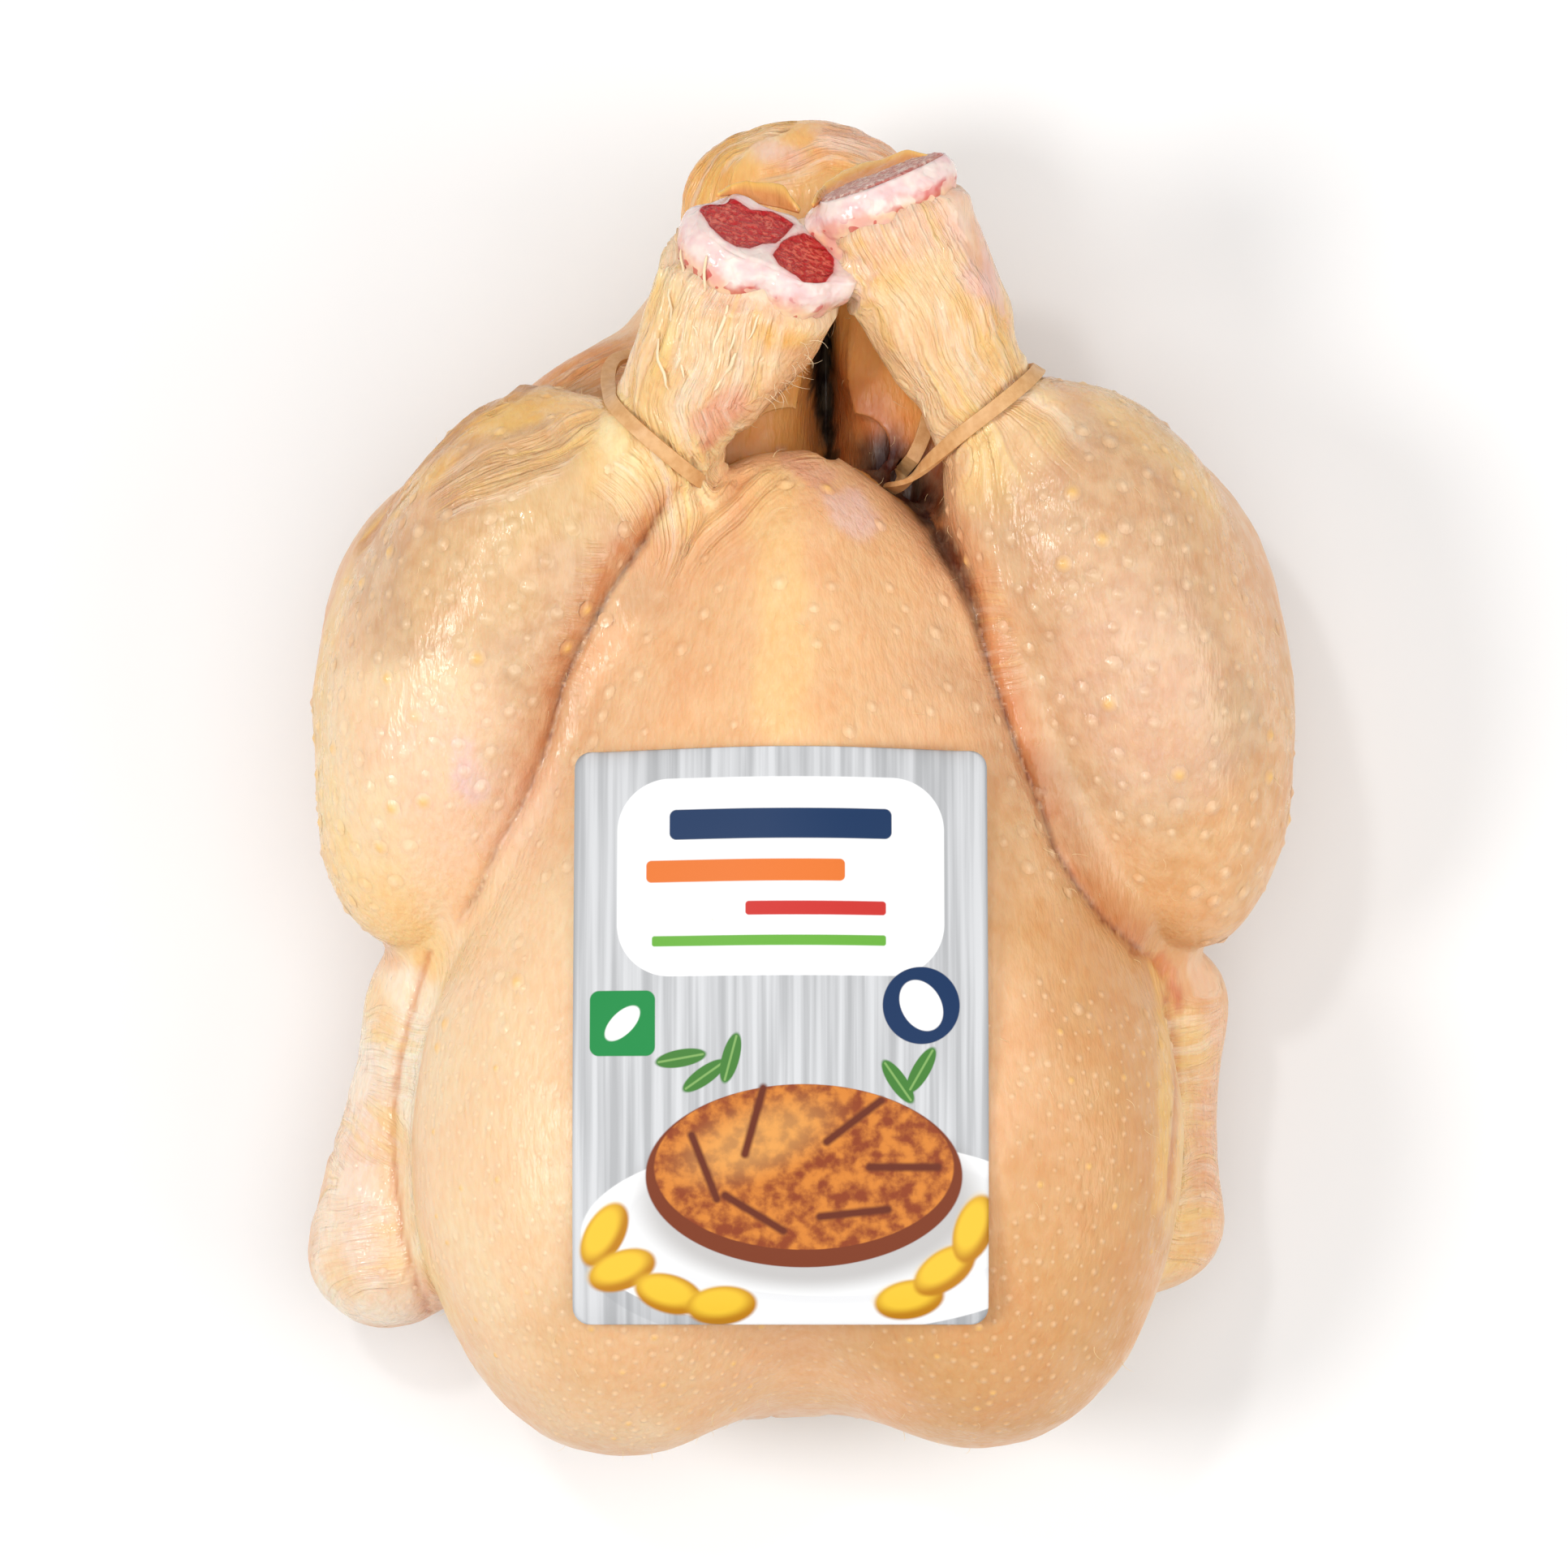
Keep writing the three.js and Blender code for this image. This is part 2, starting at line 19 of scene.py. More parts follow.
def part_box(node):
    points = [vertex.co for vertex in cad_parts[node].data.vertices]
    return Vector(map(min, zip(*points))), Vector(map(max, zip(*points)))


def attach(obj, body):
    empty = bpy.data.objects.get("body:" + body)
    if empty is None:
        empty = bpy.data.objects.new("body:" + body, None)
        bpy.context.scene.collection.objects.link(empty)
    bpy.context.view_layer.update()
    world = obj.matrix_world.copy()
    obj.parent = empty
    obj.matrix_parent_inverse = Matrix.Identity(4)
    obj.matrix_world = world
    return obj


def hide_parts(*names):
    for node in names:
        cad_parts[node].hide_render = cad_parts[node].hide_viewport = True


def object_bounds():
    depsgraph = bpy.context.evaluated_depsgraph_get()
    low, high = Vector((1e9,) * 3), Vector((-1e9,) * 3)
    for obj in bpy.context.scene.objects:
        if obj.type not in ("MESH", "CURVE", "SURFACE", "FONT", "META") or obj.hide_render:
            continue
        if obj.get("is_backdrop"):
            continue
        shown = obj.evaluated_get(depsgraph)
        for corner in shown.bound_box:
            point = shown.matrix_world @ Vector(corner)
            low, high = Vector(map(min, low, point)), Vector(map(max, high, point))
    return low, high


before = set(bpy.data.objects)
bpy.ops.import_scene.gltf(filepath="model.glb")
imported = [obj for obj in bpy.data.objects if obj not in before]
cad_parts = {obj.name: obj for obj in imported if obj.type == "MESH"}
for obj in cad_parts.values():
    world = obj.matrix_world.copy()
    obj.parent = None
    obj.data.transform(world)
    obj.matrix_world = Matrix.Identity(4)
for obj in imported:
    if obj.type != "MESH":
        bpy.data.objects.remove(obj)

cad_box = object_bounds()
MM = 0.001
print("solids:", sorted(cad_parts))

# %% [markdown]
# ## The camera
# The photograph looks almost straight down, from far away. The camera comes first, because some
# details are placed by the pixel where they show, and then drop on to the skin under that pixel.

# %% Camera
PHOTO_SIZE = 1932
SENSOR = 36.0
FOCAL_PX = 7740.0
ELEVATION = math.radians(85)
LOOK_AT = Vector((-3.1, -0.6, 46.8)) * MM
DISTANCE = 1122.6 * MM

camera_back = Vector((0, -math.cos(ELEVATION), math.sin(ELEVATION)))
camera_right = Vector((1, 0, 0))
camera_up = camera_back.cross(camera_right)

camera_data = bpy.data.cameras.new("camera")
camera_data.sensor_width = SENSOR
camera_data.lens = FOCAL_PX / PHOTO_SIZE * SENSOR
camera = bpy.data.objects.new("camera", camera_data)
camera.location = LOOK_AT + camera_back * DISTANCE
camera.rotation_mode = "QUATERNION"
camera.rotation_quaternion = (-camera_back).to_track_quat("-Z", "Y")
camera_data.clip_start = 0.05
camera_data.clip_end = 10
bpy.context.scene.collection.objects.link(camera)
bpy.context.scene.camera = camera
print("lens:", round(camera_data.lens, 1), "mm")


def pixel_ray(px, py):
    """The direction from the camera through a pixel of the photograph."""
    across = (px - PHOTO_SIZE / 2) / FOCAL_PX
    down = (py - PHOTO_SIZE / 2) / FOCAL_PX
    return (camera_right * across - camera_up * down - camera_back).normalized()


# %% [markdown]
# ## Small helpers
# Colours are written as they look on a screen, from 0 to 255, and turned into Blender's linear ones.
# The noise is a plain gradient noise with a fixed table, so every run gives the same bird.


# %% Colours and noise
def tone(red, green, blue):
    """A screen colour as a linear one."""
    steps = [c / 255 for c in (red, green, blue)]
    return tuple(c / 12.92 if c < 0.04045 else ((c + 0.055) / 1.055) ** 2.4 for c in steps)


GRADIENTS = np.random.default_rng(11).normal(size=(256, 3))
GRADIENTS /= np.linalg.norm(GRADIENTS, axis=1, keepdims=True)


def ripple(points, size, seed):
    """Smooth noise from about -1 to 1 with features of the given size, one value for each point."""
    p = points / size + seed * 31.7
    cell = np.floor(p).astype(np.int64)
    inside = p - cell
    ease = inside**3 * (inside * (inside * 6 - 15) + 10)
    total = np.zeros(len(p))
    for corner in np.ndindex(2, 2, 2):
        c = cell + corner
        key = c[:, 0] * 73856093 ^ c[:, 1] * 19349663 ^ c[:, 2] * 83492791
        key = (key ^ (key >> 13)) & 255
        slope = np.einsum("ij,ij->i", GRADIENTS[key], inside - corner)
        share = np.prod(np.where(corner, ease, 1 - ease), axis=1)
        total += share * slope
    return total * 1.6


def smooth(value, low, high):
    """Rises smoothly from 0 at low to 1 at high. It falls where low is more than high."""
    t = np.clip((value - low) / (high - low), 0, 1)
    return t * t * (3 - 2 * t)


def between(value, zero_low, one_low, one_high, zero_high):
    """Rises from 0 to 1 over the first two limits, and falls back to 0 over the last two."""
    return smooth(value, zero_low, one_low) * smooth(value, zero_high, one_high)


# %% Objects and meshes
def new_object(name, mesh):
    made = bpy.data.objects.new(name, mesh)
    bpy.context.scene.collection.objects.link(made)
    return made


def new_mesh(name, places, faces):
    mesh = bpy.data.meshes.new(name)
    mesh.from_pydata(np.asarray(places).tolist(), [], faces)
    return mesh


def grid_faces(rows, columns):
    """The four-sided faces over a grid of points that are counted row by row."""
    starts = [row * columns + column for row in range(rows - 1) for column in range(columns - 1)]
    return [(a, a + 1, a + columns + 1, a + columns) for a in starts]


def baked(obj):
    """Turns an object's modifiers into plain mesh."""
    graph = bpy.context.evaluated_depsgraph_get()
    mesh = bpy.data.meshes.new_from_object(obj.evaluated_get(graph))
    obj.modifiers.clear()
    obj.data = mesh
    return obj


def table_of(items, key, columns, kind=float):
    """Reads one row of numbers for each of a mesh's vertices or edges."""
    flat = np.empty(len(items) * columns, kind)
    items.foreach_get(key, flat)
    return flat.reshape(-1, columns)


def coordinates(mesh):
    return table_of(mesh.vertices, "co", 3)


def directions(mesh):
    return table_of(mesh.vertex_normals, "vector", 3)


def edge_ends(mesh):
    return table_of(mesh.edges, "vertices", 2, np.int32)


def move_to(mesh, points):
    mesh.vertices.foreach_set("co", np.asarray(points, np.float32).ravel())
    mesh.update()


def keep_numbers(mesh, name, values):
    """Stores one number for each vertex, for a material or a tree of nodes to read."""
    layer = mesh.attributes.new(name, "FLOAT", "POINT")
    layer.data.foreach_set("value", np.asarray(values, np.float32))


def keep_vectors(mesh, name, values):
    layer = mesh.attributes.new(name, "FLOAT_VECTOR", "POINT")
    layer.data.foreach_set("vector", np.asarray(values, np.float32).ravel())


def keep_colours(mesh, colours):
    layer = mesh.color_attributes.new("skin_colour", "FLOAT_COLOR", "POINT")
    opaque = np.hstack([colours, np.ones((len(colours), 1))])
    layer.data.foreach_set("color", opaque.astype(np.float32).ravel())


# %% Evening out over a mesh
def spread(mesh, values, rounds):
    """Evens out values, one row for each vertex, along the mesh's edges."""
    ends = edge_ends(mesh)
    a, b = ends.T
    count = np.bincount(ends.ravel(), minlength=len(values))[:, None]
    for _ in range(rounds):
        total = np.empty_like(values)
        for k in range(values.shape[1]):
            total[:, k] = np.bincount(a, values[b, k], len(values))
            total[:, k] += np.bincount(b, values[a, k], len(values))
        values = (values + total / count) / 2
    return values


def shade_smooth(obj):
    obj.data.polygons.foreach_set("use_smooth", [True] * len(obj.data.polygons))
    return obj


# %% [markdown]
# ## The skin's mesh
# The solid is a coarse net of triangles. Subdivision rounds it, and a voxel remesh then lays even
# small faces over it, which is what displacement wants. A remesh closes everything and forgets the
# net's own directions, so no seam shows. Faces of 1.3 mm keep the piece under 200,000 triangles, and
# what is finer than that is left to the material's bump.

# %% Skin mesh
SKIN_FACE = 1.3 * MM
OUTLINE_HEIGHT = 55 * MM
PIXEL = 0.145


def sewn(node):
    """A CAD node's triangles sewn together and paired into four-sided faces."""
    work = bmesh.new()
    work.from_mesh(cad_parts[node].data)
    bmesh.ops.remove_doubles(work, verts=work.verts, dist=1e-6)
    bmesh.ops.join_triangles(
        work,
        faces=work.faces,
        angle_face_threshold=math.radians(40),
        angle_shape_threshold=math.radians(60),
    )
    mesh = bpy.data.meshes.new(node + "_fine")
    work.to_mesh(mesh)
    work.free()
    return mesh


skin = new_object("skin", sewn("carcass"))
rounding = skin.modifiers.new("rounding", "SUBSURF")
rounding.levels = rounding.render_levels = 2
even = skin.modifiers.new("even", "REMESH")
even.mode = "VOXEL"
even.voxel_size = SKIN_FACE
calm = skin.modifiers.new("calm", "SMOOTH")
calm.iterations = 2
calm.factor = 0.5
baked(skin)
print("skin:", len(skin.data.polygons), "faces")

skin_at = coordinates(skin.data)
skin_out = directions(skin.data)
skin_faces = [tuple(face.vertices) for face in skin.data.polygons]
skin_tree = BVHTree.FromPolygons([Vector(p) for p in skin_at], skin_faces)


# %% From the photograph to the skin and back
def on_skin(px, py):
    """The point of the skin that shows at a pixel of the photograph, or else the nearest one to it."""
    way = pixel_ray(px, py)
    point = skin_tree.ray_cast(camera.location, way)[0]
    if point is None:
        beside = camera.location + way * ((camera.location.z - OUTLINE_HEIGHT) / -way.z)
        point = skin_tree.find_nearest(beside)[0]
    return np.array(point)


def to_pixels(points):
    """The pixel of the photograph where each point shows."""
    off = points - np.array(camera.location)
    depth = -(off @ np.array(camera_back))
    px = PHOTO_SIZE / 2 + FOCAL_PX * (off @ np.array(camera_right)) / depth
    py = PHOTO_SIZE / 2 - FOCAL_PX * (off @ np.array(camera_up)) / depth
    return px, py


def from_segment(u, w, du, dw):
    """How far from the straight line that runs from 0, 0 to du, dw, how far along it, and on which side."""
    t = np.clip((u * du + w * dw) / (du * du + dw * dw), 0, 1)
    return np.hypot(u - t * du, w - t * dw), t, np.sign(u * dw - w * du)


def outline_distance(u, w, corners):
    """How far each place is outside a closed outline. Inside it the distance is negative."""
    nearest = np.full(u.shape, np.inf)
    inside = np.zeros(u.shape, bool)
    for (au, aw), (bu, bw) in zip(corners, np.roll(corners, -1, 0)):
        away, _, _ = from_segment(u - au, w - aw, bu - au, bw - aw)
        nearest = np.minimum(nearest, away)
        crosses = (aw > w) != (bw > w)
        slope = (bu - au) / (bw - aw) if bw != aw else 0.0
        inside ^= crosses & (u < au + (w - aw) * slope)
    return np.where(inside, -nearest, nearest)


def beside_line(u, w, line):
    """How far each place lies beside an open line, less than 0 on its other side, and how far along."""
    best = np.full(u.shape, np.inf)
    side = np.full(u.shape, 99.0)
    along = np.zeros(u.shape)
    for number, ((au, aw), (bu, bw)) in enumerate(zip(line, line[1:])):
        away, t, sign = from_segment(u - au, w - aw, bu - au, bw - aw)
        closer = away < best
        best[closer] = away[closer]
        side[closer] = (away * sign)[closer]
        along[closer] = ((number + t) / (len(line) - 1))[closer]
    return side, along


# %% [markdown]
# ## Strokes
# Folds and colours both follow lines on the bird: a crease, an edge, the run of a leg. A stroke is a
# line of points, given as pixels of the photograph or as millimetres in the frame, and for each
# vertex it tells how far away the line is, how far along it that is, and on which side.


# %% Strokes
def path_points(path):
    """Pixels (px, py) drop on to the skin. Three numbers are a place in millimetres."""
    return [on_skin(*p) if len(p) == 2 else np.array(p) * MM for p in path]


def along_path(path, reach):
    """The vertices within reach of a path: their numbers, distance, run along it and side step."""
    line = path_points(path)
    if len(line) == 1:
        line.append(line[0] + [1e-5, 0, 0])
    low = np.min(line, axis=0) - reach
    high = np.max(line, axis=0) + reach
    near = np.flatnonzero(np.all((skin_at > low) & (skin_at < high), axis=1))
    p = skin_at[near]
    out = skin_out[near]
    best = np.full(len(near), np.inf)
    run = np.zeros(len(near))
    side = np.zeros(len(near))
    start = 0.0
    for a, b in zip(line, line[1:]):
        length = np.linalg.norm(b - a)
        way = (b - a) / length
        t = np.clip((p - a) @ way, 0, length)
        off = p - a - t[:, None] * way
        distance = np.linalg.norm(off, axis=1)
        closer = distance < best
        best[closer] = distance[closer]
        run[closer] = (start + t)[closer]
        sideways = np.cross(way, out)
        side[closer] = np.einsum("ij,ij->i", off, sideways)[closer]
        start += length
    inside = best < reach
    return near[inside], best[inside], run[inside], side[inside]


# %% [markdown]
# ## Creases
# Where two parts of the bird press together, the real crease is a sharp line, but a mesh with faces of
# 1.3 mm rounds it off. How far a vertex lies under the evened-out surface tells how hollow its place
# is. Narrow hollows are pushed in further, and wide ones are half filled. The long seam between each
# leg and the breast is traced from the photograph instead: its groove is filled here, and its line is
# cut in once the relief and the leg ends are done.

# %% Creases
NEAR_ROUNDS = 10
WIDE_ROUNDS = 90
CREASE_DEPTH = 0.35
SOFT_FILL = 0.45
SEAM_LOWEST = 34 * MM
SEAM_WIDTH = (16, 8)
SEAMS = {
    "left": [
        (818, 628), (775, 692), (746, 738), (717, 792), (694, 841), (675, 918), (656, 964), (641, 998),
        (614, 1044), (591, 1098), (557, 1151),
    ],
    "right": [
        (1413, 1176), (1394, 1166), (1359, 1135), (1324, 1090), (1299, 1048), (1286, 1010), (1273, 975),
        (1257, 937), (1240, 889), (1227, 848), (1212, 800), (1201, 750), (1184, 706), (1160, 662),
    ],
}


# %% Fill the hollows
def seam_places():
    """For every vertex, mm from the nearest seam, with the leg side positive, and how far along it is."""
    px, py = to_pixels(skin_at)
    left, left_along = beside_line(px, py, SEAMS["left"])
    right, right_along = beside_line(px, py, SEAMS["right"])
    nearer = np.abs(left) < np.abs(right)
    away = np.where(nearer, -left, -right) * PIXEL
    along = np.where(nearer, left_along, 1 - right_along)
    above = smooth(skin_at[:, 2], SEAM_LOWEST, SEAM_LOWEST + 6 * MM) * (skin_out[:, 2] > -0.2)
    return away, along, above, ~nearer


hollow_near = np.einsum("ij,ij->i", spread(skin.data, skin_at, NEAR_ROUNDS) - skin_at, skin_out) / MM
evened = spread(skin.data, skin_at, WIDE_ROUNDS)
hollow_wide = np.einsum("ij,ij->i", evened - skin_at, skin_out) / MM
crease = spread(skin.data, smooth(hollow_near, 0.06, 0.45)[:, None], 3)[:, 0]
seam_away, _, seam_above, _ = seam_places()
by_seam = smooth(np.abs(seam_away), *SEAM_WIDTH) * seam_above
shanks = smooth(skin_at[:, 1] / MM, 56, 64) * smooth(skin_at[:, 2] / MM, 60, 68)
filling = smooth(hollow_wide, 0.1, 0.9) * np.maximum(by_seam, SOFT_FILL * (1 - shanks))
filled = spread(skin.data, filling[:, None], 4)
skin_at = skin_at + (evened - skin_at) * filled
skin_at = skin_at + (spread(skin.data, skin_at, 6) - skin_at) * filled
move_to(skin.data, skin_at)
skin_out = directions(skin.data)
skin_tree = BVHTree.FromPolygons([Vector(p) for p in skin_at], skin_faces)
lift = -crease * (1 - by_seam) * CREASE_DEPTH * MM
print("deepest hollow:", round(hollow_near.max(), 2), "mm close by")
print("deepest wide hollow:", round(hollow_wide.max(), 2), "mm")

# %% [markdown]
# ## Folds and unevenness
# Loose skin lies in folds that run along the limb and fade out. Each fold stroke gives their width,
# depth and how far they spread. The absolute value of noise has round tops and sharp valleys, as
# folded skin does. The run along the stroke and the step to its side are kept on the mesh as well, so
# that the material can add finer wrinkles that run the same way. Slow noise over everything keeps the
# bird from looking turned on a lathe.

# %% Folds
FOLDS = [
    # path, reach mm, fold width mm, depth mm, and whether they run across the path
    ([(905, 270), (880, 340), (850, 420), (830, 500), (850, 580)], 24, 3.0, 1.1),
    ([(1110, 290), (1140, 350), (1180, 440), (1220, 500)], 24, 2.8, 0.9),
    ([(742, 410), (680, 440), (600, 500), (520, 570), (450, 640)], 9, 3.2, 1.0),
    ([(740, 520), (690, 550), (640, 570), (560, 600)], 9, 3.4, 0.8),
    ([(850, 590), (800, 560), (750, 520)], 7, 2.6, 0.8),
    ([(1200, 540), (1260, 500), (1290, 470)], 8, 2.6, 0.8),
    ([(440, 1230), (420, 1340), (415, 1450), (440, 1600)], 15, 3.4, 0.6, "across"),
    ([(1465, 1230), (1478, 1340), (1475, 1450), (1455, 1560)], 13, 3.4, 0.6, "across"),
    ([(870, 230), (890, 170), (960, 145)], 10, 3.6, 0.9),
    ([(960, 190), (1020, 175), (1090, 190)], 10, 3.2, 0.9),
    ([(930, 520), (980, 560)], 8, 2.8, 0.6),
    ([(745, 660), (715, 760), (690, 850)], 6, 2.6, 0.3, "across"),
    ([(1215, 700), (1240, 860)], 6, 2.6, 0.3, "across"),
    ([(60, -70, 14), (58, -20, 14)], 14, 4.0, 1.0),
    ([(-60, -70, 14), (-58, -20, 14)], 14, 4.0, 1.0),
    ([(-45, 60, 22), (0, 100, 24), (45, 60, 22)], 14, 4.4, 1.2),
    ([(-40, -112, 40), (0, -108, 30), (40, -112, 40)], 16, 5.0, 1.2, "across"),
]
FULL_FOLD = 0.9
FOLD_JUMP = 3.0
SLIT_X = 4.6
SLIT_FILL = 0.9
LUMPS = ((26, 3, 0.9), (9, 4, 0.28))
fold_share = np.zeros(len(skin_at))
fold_lift = np.zeros(len(skin_at))
fold_place = np.zeros((len(skin_at), 3))


# %% Lift the folds
def folded(number, path, reach, width, depth, turn="along"):
    """The vertices of one stroke, and how high its folds lift them."""
    near, distance, run, side = along_path(path, reach * MM)
    fade = smooth(distance, reach * MM, reach * 0.35 * MM)
    if turn == "across":
        run, side = side, run
    wander = ripple(skin_at[near], 12 * MM, number) * width * 0.6
    lane = np.full(len(near), number * 7.0)
    place = np.stack([run / MM / 8, side / MM + wander, lane], axis=1)
    fold = np.abs(ripple(place, width, number)) * 2 - 0.7
    fine = np.abs(ripple(place * [2, 2, 1], width, number + 1)) - 0.35
    strength = fade * min(depth / FULL_FOLD, 1)
    stronger = strength > fold_share[near]
    fold_share[near[stronger]] = strength[stronger]
    fold_place[near[stronger]] = place[stronger]
    return near, (fold + 0.45 * fine) * fade * depth


for number, stroke in enumerate(FOLDS):
    near, height = folded(number, *stroke)
    fold_lift[near] += height * MM

# The slit between the belly flaps is wider in the solid than in the photograph.
x, y, z = skin_at.T / MM
in_slit = smooth(np.abs(x - SLIT_X), 4.6, 3.4) * between(y, 50, 58, 96, 104) * smooth(z, 61, 56)
lift += in_slit * SLIT_FILL * MM
for size, seed, height in LUMPS:
    lift += ripple(skin_at, size * MM, seed) * height * MM
lift += np.abs(ripple(skin_at, 4 * MM, 5)) * 0.12 * MM

# Where two strokes meet, the kept places jump. The folds fade out there instead of tearing.
ends = edge_ends(skin.data)
step = np.linalg.norm(fold_place[ends[:, 0]] - fold_place[ends[:, 1]], axis=1)
torn = np.zeros(len(skin_at))
torn[ends[step > FOLD_JUMP].ravel()] = 1
whole = smooth(spread(skin.data, torn[:, None], 4)[:, 0], 0.12, 0.0)
lift += fold_lift * whole
on_floor = smooth(skin_at[:, 2], 2 * MM, 8 * MM)
keep_numbers(skin.data, "fold", fold_share * whole)
keep_vectors(skin.data, "fold_place", fold_place)
print("relief from", round(lift.min() / MM, 2), "to", round(lift.max() / MM, 2), "mm")

# %% [markdown]
# ## The cut ends of the legs
# The feet are cut off at the hock, through the joint. The cut shows two spongy red ovals of bone,
# ringed by pearly cartilage, and the skin ends raggedly a little way down. Bone, cartilage and skin
# are different materials, so each end is a cap of its own with very fine faces: rings of points
# around the leg's axis, found by casting rays outwards on to the solid. The skin is tucked in under it.

# %% Leg ends
HOCKS = {
    "left": {
        "cut": Vector((-6.5, 91.3, 89.5)) * MM,
        "facing": Vector((0.34, 0.68, 0.66)).normalized(),
        "long": Vector((0.894, -0.447, 0)).normalized(),
        "bones": ((-3.5, 11.0), (8.0, 8.8)),
        "sunk": 0.4,
        "ovals": (
            (
                (863, 256), (870, 245), (884, 241), (897, 240), (910, 248), (924, 257), (951, 260),
                (967, 268), (979, 276), (969, 288), (956, 300), (940, 300), (924, 306), (908, 303),
                (892, 295), (876, 280),
            ),
            (
                (952, 314), (961, 301), (975, 291), (991, 287), (1004, 292), (1018, 304), (1029, 318),
                (1028, 334), (1019, 344), (1005, 347), (991, 344), (975, 336), (961, 327),
            ),
        ),
        "edge": 7.5,
    },
    "right": {
        "cut": Vector((13.3, 102.4, 86.5)) * MM,
        "facing": Vector((-0.35, 0.88, 0.31)).normalized(),
        "long": Vector((0.88, 0.35, 0)).normalized(),
        "bones": ((-5.0, 9.0), (5.0, 8.3)),
        "sunk": 0.05,
        "ovals": (
            (
                (992, 256), (1001, 243), (1018, 233), (1044, 222), (1071, 210), (1098, 199), (1125, 190),
                (1150, 185), (1164, 187), (1158, 193), (1133, 203), (1098, 218), (1066, 231), (1034, 246),
                (1012, 254), (998, 258),
            ),
        ),
        "edge": 6.5,
    },
}
CAP_SPOKES = 160
CAP_RINGS = 30
CAP_DEPTH = 17.0
CAP_STEPS = 34
CAP_SWELL = 0.25
CAP_SINK = 1.6
RIM_SHARE = 0.985
WIDEST = 30.0
TUCK = 1.3


# %% Where the caps' points lie
def oval_distance(u, w, bones):
    """How far outside the two joined bone ends a place on the cut is, in mm."""
    both = [np.hypot(u - at, w) - radius for at, radius in bones]
    return np.minimum(*both)


def on_cut(hock, px, py):
    """Where a pixel's line of sight meets the plane of the cut, in mm from its middle."""
    cut, facing, long, other = hock_axes(hock)
    start = np.array(camera.location)
    way = np.array(pixel_ray(px, py))
    off = start + way * (((cut - start) @ facing) / (way @ facing)) - cut
    return off @ long / MM, off @ other / MM


def hock_axes(hock):
    facing = np.array(hock["facing"])
    long = np.array(hock["long"])
    return np.array(hock["cut"]), facing, long, np.cross(facing, long)


def cap_radius(hock, angle, depth):
    """How far the solid reaches from the middle of the cut at an angle, at a depth below the cut."""
    cut, facing, long, other = hock_axes(hock)
    middle = np.mean([at for at, _ in hock["bones"]])
    way = long * math.cos(angle) + other * math.sin(angle)
    start = cut + long * middle * MM - facing * max(depth, 0.5) * MM
    hit = skin_tree.ray_cast(Vector(start), Vector(way))[0]
    found = WIDEST if hit is None else (hit - Vector(start)).length / MM
    reach = np.linspace(4, WIDEST, 260)
    u = middle + reach * math.cos(angle)
    w = reach * math.sin(angle)
    own = reach[np.argmax(oval_distance(u, w, hock["bones"]) > 0)]
    return min(found, own + 1.1)


def blurred(values, rounds):
    """Evens out a table of radii round the leg and down it."""
    for _ in range(rounds):
        values = (np.roll(values, 1, 0) + 2 * values + np.roll(values, -1, 0)) / 4
        ends = np.pad(values, ((0, 0), (1, 1)), mode="edge")
        values = (ends[:, :-2] + 2 * values + ends[:, 2:]) / 4
    return values


def cap_faces(count, total):
    """Faces over rings of points, closed by one point at each end."""
    faces = []
    last = 1 + (total - 1) * count
    for i in range(count):
        j = (i + 1) % count
        faces.append((0, 1 + i, 1 + j))
        for a in range(1, last, count):
            faces.append((a + i, a + count + i, a + count + j, a + j))
        faces.append((last + i, 1 + total * count, last + j))
    return faces


